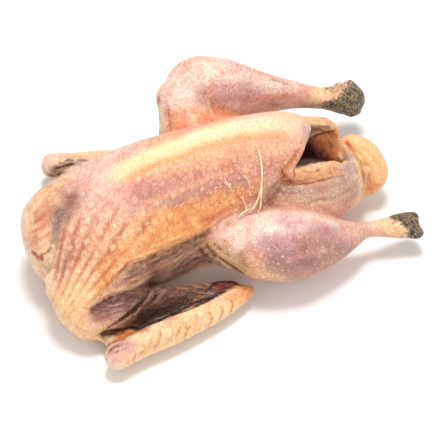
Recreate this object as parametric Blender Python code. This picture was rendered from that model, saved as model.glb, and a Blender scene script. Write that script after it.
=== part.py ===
"""A whole plucked and drawn guinea fowl, lying on its back with its legs and wings on.

X runs from the neck (-X) to the tail (+X), +Y is the side away from the viewer, +Z is up.
Dimensions are in millimetres, and the finished shape is scaled to metres once.
"""

import math

import bmesh
import bpy
from mathutils import Matrix, Vector

MM = 0.001

# Driving dimensions.
BODY_START = -112
BODY_LENGTH = 180
BODY_HALF_WIDTH = 44
KEEL_HEIGHT = 93
DRUMSTICK_RADIUS = 22.5
WING_RADIUS = 9
VENT_ROLL_RADIUS = 5
WEB_HALF_THICKNESS = 3
HOCK_BULGE = 0.35

# Joints of the near and far legs and wings.
NEAR_KNEE = (-6, -39.5, 36)
NEAR_HOCK = (120, -41, 18)
FAR_KNEE = (1, 73, 52)
FAR_HOCK = (122, 65, 27)
NEAR_SHOULDER = (-84, -52, 20)
NEAR_ELBOW = (1, -53, 12)
NEAR_WRIST = (-77, -84, 13)
NEAR_WING_TIP = (12, -56, 10)
FAR_SHOULDER = (-68, 46, 20)
FAR_ELBOW = (0, 60, 9)
FAR_WRIST = (-78, 73, 15)

# How fine the skin is.
VOXEL = 1.3
SMOOTH_FACTOR = 0.5
SMOOTH_ROUNDS = 8
FINISH_ROUNDS = 5
MOST_TRIANGLES = 11600
RING_SIDES = 28
TORSO_SIDES = 56
STEPS_PER_SPAN = 5
CAP_RINGS = 4

# Torso sections: share of the length, side shift, share of the half width, then the heights of
# the keel, of the widest point and of the back as shares of the keel height, and how sharp
# the breastbone ridge is (1 round, 2 a straight gable).
TORSO = [
    (0.0, -3, 0.18, 0.48, 0.39, 0.31, 1.0),
    (0.016, -3, 0.42, 0.54, 0.38, 0.21, 1.0),
    (0.05, -3, 0.60, 0.60, 0.38, 0.11, 1.0),
    (0.115, -3, 0.78, 0.655, 0.38, 0.03, 1.0),
    (0.21, -4, 0.91, 0.73, 0.39, -0.02, 1.1),
    (0.32, -2, 0.98, 0.84, 0.40, -0.03, 1.25),
    (0.44, 0, 0.98, 0.935, 0.41, -0.04, 1.35),
    (0.566, 1, 0.88, 0.99, 0.42, -0.04, 1.4),
    (0.731, 2, 0.86, 1.0, 0.43, -0.03, 1.4),
    (0.852, 2, 0.84, 0.98, 0.44, -0.01, 1.38),
    (0.929, 3, 0.75, 0.945, 0.45, 0.02, 1.3),
    (0.973, 3, 0.57, 0.89, 0.495, 0.17, 1.2),
    (1.0, 3, 0.27, 0.82, 0.60, 0.39, 1.0),
]
LOWER_SIDE_POWER = 0.75
LOWER_BACK_POWER = 0.85
# The breast end leans forward below the keel tip, from this share of the length on.
LEAN_FROM = 0.62
BREAST_END_LEAN = 0.92
LEAN_FLOOR = 24

# Leg sections: share of the way from knee to hock, sag to the outer side, share of the radius.
NEAR_DRUMSTICK = [
    (0.0, 0, 0.36),
    (0.108, -1, 0.70),
    (0.178, 0.5, 0.89),
    (0.292, 3, 1.0),
    (0.408, 4.5, 0.97),
    (0.508, 4.5, 0.78),
    (0.608, 4, 0.55),
    (0.69, 2, 0.36),
    (0.746, 0, 0.24),
    (0.82, 0, 0.25),
    (0.922, 0, 0.35),
    (1.0, 0, 0.37),
]
FAR_DRUMSTICK = [
    (0.0, 0, 0.50),
    (0.104, -5, 0.94),
    (0.177, -5, 1.02),
    (0.30, -5, 0.93),
    (0.425, -4.5, 0.70),
    (0.52, -3.5, 0.55),
    (0.623, -2.5, 0.43),
    (0.70, -1, 0.36),
    (0.75, 0.5, 0.33),
    (0.825, 1.5, 0.34),
    (0.924, 2.5, 0.46),
    (1.0, 1, 0.34),
]

# Wing bones: share of the way along, share of the radius across, share of the radius upright.
UPPER_ARM = [
    (0.0, 1.5, 1.5),
    (0.25, 1.1, 1.2),
    (0.5, 0.8, 0.9),
    (0.75, 0.65, 0.75),
    (1.0, 0.6, 0.6),
]
FOREARM = [
    (0.0, 0.9, 1.0),
    (0.15, 0.85, 0.9),
    (0.4, 1.1, 0.85),
    (0.7, 1.05, 0.8),
    (0.88, 0.8, 0.7),
    (1.0, 0.4, 0.4),
]

# Other sections are (centre, half width, half height). The pelvis and belly behind the breast:
RUMP = [
    ((-12, 0, 24), 33, 26),
    ((12, 0, 24), 34, 27),
    ((45, 0, 26), 37, 31),
    ((66, 1, 27), 34, 31),
    ((81, 3, 26), 27, 26),
    ((92, 4, 22), 21, 18),
    ((99, 5, 19), 13, 12),
]
TAIL = [
    ((101, 22, 32), 7, 7),
    ((105, 16, 30), 11, 8),
    ((107, 9, 26), 12.5, 9),
    ((107, 3, 21), 12.5, 9),
    ((104, 0, 16), 9, 7),
]
NEAR_THIGH = [
    ((58, -18, 24), 20, 18),
    ((30, -28, 26), 20, 18),
    ((4, -36, 30), 13, 14),
]
FAR_THIGH = [
    ((56, 16, 26), 22, 20),
    ((28, 32, 32), 26, 20),
    ((10, 48, 38), 24, 19),
    ((7, 64, 45), 18, 17),
]
NEAR_BREAST_SHOULDER = [
    ((-80, -32, 28), 20, 20),
    ((-88, -44, 24), 18, 18),
    ((-84, -54, 17), 16, 14),
]
NEAR_FLANK_SKIN = [
    ((-54, -28, 46), 18, 16),
    ((-64, -42, 32), 17, 15),
    ((-72, -54, 21), 14, 12),
]
FAR_BREAST_SHOULDER = [
    ((-66, 26, 34), 18, 18),
    ((-64, 40, 28), 14, 14),
]

# The belly skin on both sides of the vent: a rolled edge nearby and a standing flap behind.
NEAR_VENT_ROLL = [
    (40, -20, 48),
    (54, -15, 51),
    (67, -11, 50),
    (78, -8, 47),
    (88, -7, 40),
]
FAR_BELLY_WALL = [
    ((46, 18, 58), 5, 15),
    ((60, 18, 57), 4.5, 14),
    ((73, 19, 52), 4, 13),
    ((82, 17, 46), 4, 12),
    ((88, 12, 39), 4, 10),
    ((91, 6, 32), 4, 8),
]

# The skin webs of the wings, as corners of a thin plate.
NEAR_WEB = [(-86, -54, 9), (-78, -80, 9), (-40, -74, 8), (4, -55, 9), (-30, -52, 11)]
FAR_WEB = [(-68, 46, 14), (-76, 68, 13), (-40, 66, 10), (-2, 58, 8), (-36, 52, 11)]

# The body cavity, from outside the vent to the blind end under the breastbone.
CAVITY = [
    ((96, 3, 92), 16, 20),
    ((82, 4, 64), 14, 19),
    ((70, 3, 47), 15, 18),
    ((45, 0, 42), 20, 19),
    ((15, 0, 42), 21, 20),
    ((-12, 0, 42), 12, 12),
]

SKIN_COLOUR = (0.78, 0.47, 0.31, 1)
SKIN_ROUGHNESS = 0.42


def clear_scene():
    for obj in list(bpy.data.objects):
        bpy.data.objects.remove(obj)


def catmull(values, steps):
    """Values between the given ones, on a smooth curve through them all."""
    padded = [values[0] * 2 - values[1], *values, values[-1] * 2 - values[-2]]
    found = []
    for a, b, c, d in zip(padded, padded[1:], padded[2:], padded[3:]):
        slope = c - a
        bend = a * 2 - b * 5 + c * 4 - d
        twist = b * 3 - a - c * 3 + d
        for step in range(steps):
            t = step / steps
            found.append((b * 2 + slope * t + bend * t**2 + twist * t**3) / 2)
    return [*found, values[-1]]


def mesh_object(name, bm):
    """A bmesh as an object, its faces pointing out."""
    bmesh.ops.recalc_face_normals(bm, faces=bm.faces)
    mesh = bpy.data.meshes.new(name)
    bm.to_mesh(mesh)
    bm.free()
    obj = bpy.data.objects.new(name, mesh)
    bpy.context.scene.collection.objects.link(obj)
    return obj


def skin_rings(name, rings):
    """A closed tube through rings of points, which all have as many points."""
    bm = bmesh.new()
    loops = [[bm.verts.new(point) for point in ring] for ring in rings]
    count = len(rings[0])
    for low, high in zip(loops, loops[1:]):
        for i in range(count):
            j = (i + 1) % count
            bm.faces.new((low[i], low[j], high[j], high[i]))
    bm.faces.new(loops[0])
    bm.faces.new(loops[-1])
    return mesh_object(name, bm)


def oval(middle, side, rise):
    """A ring of points round the middle, whose half axes are side and rise."""
    turns = [math.tau * n / RING_SIDES for n in range(RING_SIDES)]
    return [middle + side * math.cos(turn) + rise * math.sin(turn) for turn in turns]


def limb(name, stations, end_bulge=1):
    """A fleshy tube with round ends through (centre, half width, half height) stations."""
    centres = catmull([Vector(s[0]) for s in stations], STEPS_PER_SPAN)
    sizes = catmull([Vector((s[1], s[2])) for s in stations], STEPS_PER_SPAN)
    quarter = [math.pi / 2 * n / CAP_RINGS for n in range(CAP_RINGS)]
    dome = [(math.sin(turn), math.cos(turn)) for turn in quarter]
    last = len(centres) - 1
    rings = []
    for i, (centre, size) in enumerate(zip(centres, sizes)):
        along = (centres[min(i + 1, last)] - centres[max(i - 1, 0)]).normalized()
        side = along.cross(Vector((0, 0, 1))).normalized()
        rise = side.cross(along)
        slices = [(0, 1)]
        if i == 0:
            slices = [(-out, shrink) for out, shrink in reversed(dome)]
        if i == last:
            slices = [(out * end_bulge, shrink) for out, shrink in dome]
        for out, shrink in slices:
            middle = centre + along * (out * min(size))
            rings.append(oval(middle, side * size.x * shrink, rise * size.y * shrink))
    return skin_rings(name, rings)


def leg(name, knee, hock, rows):
    """A drumstick and shank, cut off flat below the hock."""
    knee, hock = Vector(knee), Vector(hock)
    stations = []
    for share, sag, thickness in rows:
        radius = DRUMSTICK_RADIUS * thickness
        stations.append((knee.lerp(hock, share) - Vector((0, sag, 0)), radius, radius))
    return limb(name, stations, HOCK_BULGE)


def wing_bone(name, start, end, rows):
    start, end = Vector(start), Vector(end)
    stations = []
    for share, across, upright in rows:
        stations.append((start.lerp(end, share), WING_RADIUS * across, WING_RADIUS * upright))
    return limb(name, stations)


def signed_power(value, power):
    return math.copysign(abs(value) ** power, value)


def torso():
    """The breast and back: a keeled upper half over a flat-bottomed lower half."""
    rings = []
    for share, shift, width, *heights, ridge in catmull([Vector(row) for row in TORSO], STEPS_PER_SPAN):
        x = BODY_START + share * BODY_LENGTH
        half = width * BODY_HALF_WIDTH
        keel, widest, back = (KEEL_HEIGHT * height for height in heights)
        lean = max(0, share - LEAN_FROM) / (1 - LEAN_FROM) * BREAST_END_LEAN
        ring = []
        for n in range(TORSO_SIDES):
            turn = math.tau * n / TORSO_SIDES
            across, rise = math.cos(turn), math.sin(turn)
            if rise >= 0:
                y = signed_power(across, ridge) * half
                z = widest + signed_power(rise, ridge) * (keel - widest)
            else:
                y = signed_power(across, LOWER_SIDE_POWER) * half
                z = widest + signed_power(rise, LOWER_BACK_POWER) * (widest - back)
            ring.append((x - lean * (keel - max(z, LEAN_FLOOR)), shift + y, z))
        rings.append(ring)
    return skin_rings("torso", rings)


def plate(name, corners):
    """A thin slab of skin over a loop of corners."""
    bm = bmesh.new()
    face = bm.faces.new([bm.verts.new(corner) for corner in corners])
    face.normal_update()
    lift = face.normal * WEB_HALF_THICKNESS
    grown = bmesh.ops.extrude_face_region(bm, geom=[face])["geom"]
    upper = [element for element in grown if isinstance(element, bmesh.types.BMVert)]
    bmesh.ops.translate(bm, verts=upper, vec=lift * 2)
    bmesh.ops.translate(bm, verts=bm.verts, vec=-lift)
    return mesh_object(name, bm)


def apply_modifiers(obj):
    """The object's mesh as its modifiers make it, with no modifier left."""
    graph = bpy.context.evaluated_depsgraph_get()
    mesh = bpy.data.meshes.new_from_object(obj.evaluated_get(graph))
    obj.modifiers.clear()
    obj.data = mesh


def remesh(obj):
    modifier = obj.modifiers.new("skin", "REMESH")
    modifier.mode = "VOXEL"
    modifier.voxel_size = VOXEL * MM
    apply_modifiers(obj)


def smooth(obj, rounds):
    modifier = obj.modifiers.new("soften", "SMOOTH")
    modifier.factor = SMOOTH_FACTOR
    modifier.iterations = rounds
    apply_modifiers(obj)


def fuse(name, pieces):
    """One closed skin round all the pieces, which are then removed."""
    bm = bmesh.new()
    for piece in pieces:
        bm.from_mesh(piece.data)
        bpy.data.objects.remove(piece)
    bmesh.ops.scale(bm, vec=(MM, MM, MM), verts=bm.verts)
    obj = mesh_object(name, bm)
    remesh(obj)
    return obj


def cut_cavity(obj):
    cutter = limb("cavity", CAVITY)
    cutter.data.transform(Matrix.Scale(MM, 4))
    modifier = obj.modifiers.new("cavity", "BOOLEAN")
    modifier.operation = "DIFFERENCE"
    modifier.solver = "EXACT"
    modifier.object = cutter
    apply_modifiers(obj)
    bpy.data.objects.remove(cutter)


def keep_largest(bm):
    """Drops loose scraps and sealed hollows, leaving the body with the most points."""
    left = set(bm.verts)
    islands = []
    while left:
        queue = [left.pop()]
        island = set(queue)
        while queue:
            for edge in queue.pop().link_edges:
                for vert in edge.verts:
                    if vert in left:
                        left.discard(vert)
                        island.add(vert)
                        queue.append(vert)
        islands.append(island)
    islands.sort(key=len)
    for island in islands[:-1]:
        bmesh.ops.delete(bm, geom=list(island), context="VERTS")


def lighten(obj):
    """The same body with fewer triangles."""
    bm = bmesh.new()
    bm.from_mesh(obj.data)
    keep_largest(bm)
    bmesh.ops.triangulate(bm, faces=bm.faces)
    count = len(bm.faces)
    bm.to_mesh(obj.data)
    bm.free()
    modifier = obj.modifiers.new("lighten", "DECIMATE")
    modifier.ratio = min(1, MOST_TRIANGLES / count)
    apply_modifiers(obj)


def flatten_underside(obj):
    """Cuts the back off level with the ground, where the bird's weight presses it flat."""
    bm = bmesh.new()
    bm.from_mesh(obj.data)
    everything = [*bm.verts, *bm.edges, *bm.faces]
    level = {"plane_co": (0, 0, 0), "plane_no": (0, 0, 1), "clear_inner": True}
    cut = bmesh.ops.bisect_plane(bm, geom=everything, **level)["geom_cut"]
    bmesh.ops.holes_fill(bm, edges=[e for e in cut if isinstance(e, bmesh.types.BMEdge)])
    bmesh.ops.triangulate(bm, faces=bm.faces)
    keep_largest(bm)
    bmesh.ops.recalc_face_normals(bm, faces=bm.faces)
    bm.to_mesh(obj.data)
    bm.free()


def stand_over_origin(obj):
    """Moves the object so that the origin is on the ground under the middle of its box."""
    points = [vert.co for vert in obj.data.vertices]
    lows = [min(point[axis] for point in points) for axis in range(3)]
    highs = [max(point[axis] for point in points) for axis in range(3)]
    obj.location = (-(lows[0] + highs[0]) / 2, -(lows[1] + highs[1]) / 2, -lows[2])


def raw_skin():
    material = bpy.data.materials.new("raw_skin")
    material.use_nodes = True
    shader = material.node_tree.nodes["Principled BSDF"]
    shader.inputs["Base Color"].default_value = SKIN_COLOUR
    shader.inputs["Roughness"].default_value = SKIN_ROUGHNESS
    shader.inputs["Metallic"].default_value = 0
    return material


def main():
    clear_scene()
    pieces = [
        torso(),
        limb("rump", RUMP),
        limb("tail", TAIL),
        limb("near_thigh", NEAR_THIGH),
        leg("near_leg", NEAR_KNEE, NEAR_HOCK, NEAR_DRUMSTICK),
        limb("far_thigh", FAR_THIGH),
        leg("far_leg", FAR_KNEE, FAR_HOCK, FAR_DRUMSTICK),
        limb("near_shoulder", NEAR_BREAST_SHOULDER),
        limb("near_flank_skin", NEAR_FLANK_SKIN),
        wing_bone("near_upper_arm", NEAR_SHOULDER, NEAR_ELBOW, UPPER_ARM),
        wing_bone("near_forearm", NEAR_WRIST, NEAR_WING_TIP, FOREARM),
        limb("far_shoulder", FAR_BREAST_SHOULDER),
        wing_bone("far_upper_arm", FAR_SHOULDER, FAR_ELBOW, UPPER_ARM),
        wing_bone("far_forearm", FAR_WRIST, FAR_ELBOW, FOREARM),
        limb("near_vent_roll", [(p, VENT_ROLL_RADIUS, VENT_ROLL_RADIUS) for p in NEAR_VENT_ROLL]),
        limb("far_belly_wall", FAR_BELLY_WALL),
        plate("near_web", NEAR_WEB),
        plate("far_web", FAR_WEB),
    ]
    bird = fuse("guinea_fowl", pieces)
    smooth(bird, SMOOTH_ROUNDS)
    cut_cavity(bird)
    remesh(bird)
    smooth(bird, FINISH_ROUNDS)
    lighten(bird)
    flatten_underside(bird)
    stand_over_origin(bird)
    bird.data.shade_smooth()
    bird.data.materials.clear()
    bird.data.materials.append(raw_skin())


main()
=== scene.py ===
"""A raw whole guinea fowl, plucked and drawn, lying on its back on a pale studio floor."""

import itertools
import math

import bmesh
import bpy
import numpy as np
from mathutils import Matrix, Vector
from mathutils.bvhtree import BVHTree


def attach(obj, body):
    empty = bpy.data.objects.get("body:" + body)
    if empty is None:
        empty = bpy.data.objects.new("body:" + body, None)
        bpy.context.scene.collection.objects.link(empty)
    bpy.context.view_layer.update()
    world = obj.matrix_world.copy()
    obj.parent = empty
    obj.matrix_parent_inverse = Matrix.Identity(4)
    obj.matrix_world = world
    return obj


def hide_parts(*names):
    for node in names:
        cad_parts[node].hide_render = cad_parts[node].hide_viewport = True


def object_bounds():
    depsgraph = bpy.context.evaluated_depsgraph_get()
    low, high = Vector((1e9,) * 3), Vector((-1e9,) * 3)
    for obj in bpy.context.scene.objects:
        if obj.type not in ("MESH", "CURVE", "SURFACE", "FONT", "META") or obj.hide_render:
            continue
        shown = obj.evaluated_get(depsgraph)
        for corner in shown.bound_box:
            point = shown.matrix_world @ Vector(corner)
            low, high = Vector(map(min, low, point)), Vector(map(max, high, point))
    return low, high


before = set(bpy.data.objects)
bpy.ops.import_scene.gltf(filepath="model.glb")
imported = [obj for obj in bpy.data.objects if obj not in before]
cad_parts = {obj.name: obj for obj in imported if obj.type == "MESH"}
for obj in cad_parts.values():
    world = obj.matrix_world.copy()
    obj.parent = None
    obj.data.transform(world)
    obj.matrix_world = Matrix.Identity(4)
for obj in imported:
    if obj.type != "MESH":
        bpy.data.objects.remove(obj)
solid_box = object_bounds()

MM = 0.001
KEEL_Y = -6.0  # the bird's middle plane, in mm
SKIN_MESH = 1.23  # edge of the skin's mesh squares, in mm
RELAX_ROUNDS = 7
# The camera, in degrees, metres and lens millimetres.
CAMERA_AZIMUTH = -16.0
CAMERA_ELEVATION = 47.0
CAMERA_DISTANCE = 1.1
CAMERA_LENS = 150.0
CAMERA_SENSOR = 36.0
CAMERA_STAND = Vector((-0.0064, -0.0041, 0.040))
CAMERA_AIM = Vector((-0.0039, -0.0270, 0.040))
PICTURE_HIGH = 440  # the picture's longer side, in pixels
PICTURE_MIDDLE = np.array((219.5, 220.0))
AIR_LIGHT = 0.59
LIGHT_AIM = Vector((0, 0, 0.03))
FLOOR_HALF_WIDTH = 3.0
# The soft lights, as (name, place and width in metres, power).
LIGHTS = (
    ("overhead_softbox", (0.05, 0.12, 1.1), 0.42, 10.0),
    ("front_softbox", (-0.1, -1.0, 0.6), 0.7, 3.4),
)


def camera_place():
    azimuth = math.radians(CAMERA_AZIMUTH)
    elevation = math.radians(CAMERA_ELEVATION)
    flat = math.cos(elevation)
    back = Vector((math.sin(azimuth) * flat, -math.cos(azimuth) * flat, math.sin(elevation)))
    return CAMERA_STAND + back * CAMERA_DISTANCE


def on_picture(places):
    """Where places in mm fall on the picture, in pixels across and down."""
    ahead = (CAMERA_AIM - camera_place()).normalized()
    across = ahead.cross(Vector((0, 0, 1))).normalized()
    up = across.cross(ahead)
    offset = places * MM - np.array(camera_place())
    depth = offset @ np.array(ahead)
    scale = CAMERA_LENS / CAMERA_SENSOR * PICTURE_HIGH / depth
    right = offset @ np.array(across) * scale
    down = -(offset @ np.array(up)) * scale
    return PICTURE_MIDDLE + np.stack((right, down), axis=1)


def smooth_run(knots, steps=5):
    """A run of points on a smooth curve through the knots."""
    line = np.array(knots, float)
    ends = np.vstack((2 * line[0] - line[1], line, 2 * line[-1] - line[-2]))
    run = []
    for a, b, c, d in zip(ends, ends[1:], ends[2:], ends[3:]):
        for share in np.arange(steps) / steps:
            bend = (2 * a - 5 * b + 4 * c - d) * share**2
            twist = (3 * b - a - 3 * c + d) * share**3
            run.append(0.5 * (2 * b + (c - a) * share + bend + twist))
    run.append(line[-1])
    return np.array(run)


def tint(red, green, blue):
    """A colour named by its 8-bit screen values, as linear light."""
    steps = (red / 255, green / 255, blue / 255)
    light = [s / 12.92 if s <= 0.04045 else ((s + 0.055) / 1.055) ** 2.4 for s in steps]
    return (*light, 1.0)


def bell(values):
    """Runs smoothly from 0 to 1 as the values do."""
    held = np.clip(values, 0.0, 1.0)
    return held * held * (3.0 - 2.0 * held)


def lumps(places, size, seed):
    """Smooth noise from -1 to 1 at each place, with lumps of this size in mm."""
    cells = places / size + 13.7 * seed
    corner = np.floor(cells)
    share = bell(cells - corner)
    total = np.zeros(len(places))
    for step in itertools.product((0, 1), repeat=3):
        wave = np.sin((corner + step) @ np.array((127.1, 311.7, 74.7)) + seed) * 43758.5453
        weight = np.prod(np.where(step, share, 1.0 - share), axis=1)
        total += weight * (2.0 * (wave - np.floor(wave)) - 1.0)
    return total


def reach_to(places, stroke):
    """How far each place is from a stroke of (x, y, z, reach) points, as a share of its reach."""
    knots = [np.array(k, float) for k in stroke]
    if len(knots) == 1:
        return np.linalg.norm(places - knots[0][:3], axis=1) / knots[0][3]
    nearest = np.full(len(places), 1e9)
    for start, end in zip(knots, knots[1:]):
        run = end[:3] - start[:3]
        along = np.clip((places - start[:3]) @ run / (run @ run), 0.0, 1.0)
        foot = start[:3] + along[:, None] * run
        reach = start[3] + along * (end[3] - start[3])
        nearest = np.minimum(nearest, np.linalg.norm(places - foot, axis=1) / reach)
    return nearest


class Skin:
    """The bird's skin while it is modelled and coloured: its points in mm, and what each point carries."""

    def __init__(self, piece):
        self.mesh = mesh = piece.data
        count = len(mesh.vertices)
        self.places = self.read("co") / MM
        self.start = self.places.copy()
        self.colour = np.ones((count, 4))
        self.rows = np.zeros((count, 3))
        # For each point: how scaly, then the painted shade of grooves and the painted highlight of ridges.
        self.scales_and_painted_light = np.zeros((count, 3))
        self.ragged = lumps(self.start, 7.0, 3) * 0.6 + lumps(self.start, 3.0, 4) * 0.4
        self.patchy = lumps(self.start, 4.5, 5) + 0.5 * lumps(self.start, 2.2, 6)
        self.relief = np.zeros(count)
        ends = np.zeros(len(mesh.edges) * 2, np.int32)
        mesh.edges.foreach_get("vertices", ends)
        self.edges = ends.reshape(-1, 2)
        self.shared = np.bincount(ends, minlength=count)
        self.pixels = on_picture(self.start)
        self.seen = self.even_out(self.sight(), 2)

    def read(self, name):
        """What the mesh holds for each of its points under this name."""
        flat = np.zeros(len(self.mesh.vertices) * 3, np.float32)
        self.mesh.vertices.foreach_get(name, flat)
        return flat.reshape(-1, 3).astype(float)

    def facing(self):
        return self.read("normal")

    def even_out(self, values, rounds):
        """Shares each point's value with its neighbours."""
        first, second = self.edges.T
        count = len(values)
        for _ in range(rounds):
            total = np.bincount(first, values[second], count) + np.bincount(second, values[first], count)
            values = 0.5 * values + 0.5 * total / self.shared
        return values

    def sight(self):
        """1 where the camera's side of the bird is open to view, and 0 elsewhere."""
        form = bmesh.new()
        form.from_mesh(self.mesh)
        tree = BVHTree.FromBMesh(form)
        form.free()
        facing = self.facing()
        away = np.array(camera_place()) - self.start * MM
        away /= np.linalg.norm(away, axis=1)[:, None]
        turned = np.sum(facing * away, axis=1)
        seen = bell(turned / 0.25)
        starts = (self.start + facing * 0.5) * MM
        for spot in np.flatnonzero(turned > 0.0):
            if tree.ray_cast(Vector(starts[spot]), Vector(away[spot]))[0] is not None:
                seen[spot] = 0.0
        return seen

    def trace(self, line, width):
        """The points near a run of picture places, how far each is from it and how far along it."""
        run = smooth_run(np.reshape(line, (-1, 2)))
        low, high = run.min(axis=0) - 3 * width, run.max(axis=0) + 3 * width
        near = np.flatnonzero(np.all((self.pixels > low) & (self.pixels < high), axis=1) & (self.seen > 0.02))
        spots = self.pixels[near]
        best = np.full(len(near), 1e9)
        travel = np.zeros(len(near))
        for step, (start, end) in enumerate(zip(run, run[1:])):
            way = end - start
            share = np.clip((spots - start) @ way / (way @ way + 1e-9), 0.0, 1.0)
            gap = np.linalg.norm(spots - start - share[:, None] * way, axis=1)
            nearer = gap < best
            best = np.where(nearer, gap, best)
            travel = np.where(nearer, step + share, travel)
        return near, best, travel / (len(run) - 1)

    def tone(self, colour, near, amount):
        share = np.clip(amount, 0.0, 1.0)[:, None]
        self.colour[near] += (np.array(colour) - self.colour[near]) * share

    def draw(self, colour, width, strength, lift, lines):
        """Draws fine, broken marks on the side the camera sees, and lifts or sinks them; the ink gives sunk
        marks painted shade and lifted marks a painted highlight.
        """
        for line in lines:
            near, gap, travel = self.trace(line, width)
            slim = width * (0.3 + 0.7 * bell(np.minimum(travel, 1.0 - travel) * 4.0))
            amount = bell(1.5 - gap / slim - 0.35 * self.ragged[near]) * self.seen[near]
            amount *= np.clip(0.8 + 0.5 * self.patchy[near], 0.0, 1.0)
            self.tone(colour, near, amount * strength)
            self.relief[near] += amount * lift
            self.ink(near, amount * strength * min(1.0, abs(lift) / 0.4), lift)

    def ink(self, near, amount, lift):
        """Marks where a fine groove or a fine ridge runs, which the material then draws sharply as painted
        shade in the groove and a painted highlight on the ridge.
        """
        channel = 1 if lift < 0.0 else 2
        if lift != 0.0:
            self.scales_and_painted_light[near, channel] = np.maximum(self.scales_and_painted_light[near, channel], np.clip(amount, 0.0, 1.0))

    def stain(self, colour, width, strength, lines):
        """Lays soft-edged colour along runs of picture places."""
        for line in lines:
            near, gap, _ = self.trace(line, width)
            spread = gap / width + 0.22 * self.ragged[near]
            self.tone(colour, near, np.exp(-spread * np.abs(spread)) * self.seen[near] * strength)

    def raise_marks(self):
        self.push(self.relief)
        self.relief[:] = 0.0

    def folded(self):
        """The places with the far half of the trunk folded over onto the near half."""
        places = self.start.copy()
        places[:, 1] = KEEL_Y - np.abs(places[:, 1] - KEEL_Y)
        return places

    def mask(self, stroke, soft=0.5, ragged=0.0, both=False):
        """1 inside the stroke and 0 outside, over an edge of this softness and raggedness."""
        places = self.folded() if both else self.start
        reach = reach_to(places, stroke) + ragged * self.ragged
        return bell((1.0 + soft / 2 - reach) / soft)

    def wash(self, colour, amount):
        share = np.clip(amount, 0.0, 1.0)[:, None]
        self.colour = self.colour * (1.0 - share) + np.array(colour) * share

    def push(self, height):
        self.places += self.facing() * height[:, None]
        self.settle()

    def shift(self, step, amount):
        self.places += np.array(step, float) * amount[:, None]
        self.settle()

    def settle(self):
        """Keeps every place inside the solid's box and writes the places to the mesh."""
        low = np.array(solid_box[0]) / MM
        high = np.array(solid_box[1]) / MM
        self.places = np.clip(self.places, low, high)
        self.mesh.vertices.foreach_set("co", (self.places * MM).astype(np.float32).ravel())
        self.mesh.update()

    def store(self):
        for name, kind, values in (
            ("paint", "FLOAT_COLOR", self.colour),
            ("rows", "FLOAT_VECTOR", self.rows),
            ("scales_and_painted_light", "FLOAT_VECTOR", self.scales_and_painted_light),
        ):
            layer = self.mesh.attributes.new(name, kind, "POINT")
            slot = "color" if kind == "FLOAT_COLOR" else "vector"
            layer.data.foreach_set(slot, values.astype(np.float32).ravel())


def new_piece(name, mesh):
    piece = bpy.data.objects.new(name, mesh)
    bpy.context.collection.objects.link(piece)
    return piece


def finished_piece(name, form):
    """A piece with the mesh of a finished form."""
    mesh = bpy.data.meshes.new(name)
    form.to_mesh(mesh)
    form.free()
    return new_piece(name, mesh)


def fix_modifiers(piece):
    """Applies the piece's modifiers, so that its mesh holds the finished shape."""
    bpy.context.view_layer.update()
    seen = piece.evaluated_get(bpy.context.evaluated_depsgraph_get())
    finished = bpy.data.meshes.new_from_object(seen)
    finished.name = piece.name
    piece.modifiers.clear()
    piece.data = finished


# Fleshy forms that are built up before the skin is drawn over them, as runs of (x, y, z, radius) in mm.
NEAR_VENT_ROLL = (
    (40, -21, 60, 3.6), (48.6, -19, 56.5, 4.2), (60, -17, 53.5, 4.6),
    (71.6, -15, 50.5, 4.4), (78, -14, 45, 3.4),
)
FAR_FLAP_LIP = (
    (59, 11, 66, 3.2), (66, 13, 63.5, 3.8), (73, 13.5, 60.5, 4.0), (79, 13, 56, 3.4), (83, 12.5, 51, 2.6),
)
BREAST_END_RIM = ((57, -4, 81, 1.6), (51.5, -14, 72, 1.6), (46.5, -17, 66, 1.8), (39, -22.5, 63, 1.8))
VENT_FAT_LUMPS = (
    (82, 2, 40, 2.4), (86, -2, 43.5, 2.6), (90, -6, 41, 2.4), (94, -1, 37, 3.0), (91, -12, 38, 2.8),
    (85, -9, 45, 2.2), (96, -8, 34, 2.8), (80, -12, 48.5, 2.4), (88, 6, 39, 2.6),
)
WINDOW_RIM = ((-94, -62, 27, 1.5), (-88, -62, 31, 1.7), (-78, -62, 33, 1.7), (-68, -62, 31, 1.6))
WINDOW_LOWER_EDGE = (
    (-90, -70, 15, 1.5), (-80, -70, 17, 1.7), (-68, -67, 19, 1.7), (-60, -62, 22, 1.6), (-52, -56, 23, 1.4),
)
FOREWING_EDGE = (
    (-78, -84, 19, 2.0), (-61, -79, 18.5, 2.2), (-37, -69.5, 16.5, 2.2),
    (-11, -61.5, 15.5, 2.0), (4, -59.5, 13, 1.6),
)
NECK_UNDERSIDE = (
    (-104, -55, 30, 7.0), (-105.5, -48, 30.5, 7.6), (-107, -42, 31, 7.4), (-106.5, -35.5, 34, 5.6),
)
NEAR_HOCK_KNOBS = (
    ((110, -43, 22.5, 4.0), (115, -44, 22.5, 4.2)),
    ((112, -51, 17, 4.0), (116, -50, 15, 4.2)),
    ((114, -44, 15, 4.0), (116, -46, 13, 3.8)),
)
FAR_HOCK_KNOBS = (
    ((99, 61, 39, 3.0), (103, 61, 40, 3.2)),
    ((110, 65, 34, 4.5), (114, 64, 30, 4.0)),
    ((108, 53, 24, 4.5), (113, 55, 22, 4.2)),
)
HOCK_BONES = ((117, -47, 20, 5.5), (117, 59, 28, 5.5))
NECK_FOLD = ((-110, -22, 44, 2.2), (-113, -26, 41, 2.6), (-110, -31, 38, 2.2))
BUILT_UP = (
    NEAR_VENT_ROLL,
    FAR_FLAP_LIP,
    BREAST_END_RIM,
    WINDOW_RIM,
    WINDOW_LOWER_EDGE,
    FOREWING_EDGE,
    NECK_FOLD,
    NECK_UNDERSIDE,
    *NEAR_HOCK_KNOBS,
    *FAR_HOCK_KNOBS,
)


def add_ball(form, middle, radius):
    place = Matrix.Translation(middle * MM)
    bmesh.ops.create_icosphere(form, subdivisions=2, radius=radius * MM, matrix=place)


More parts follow.
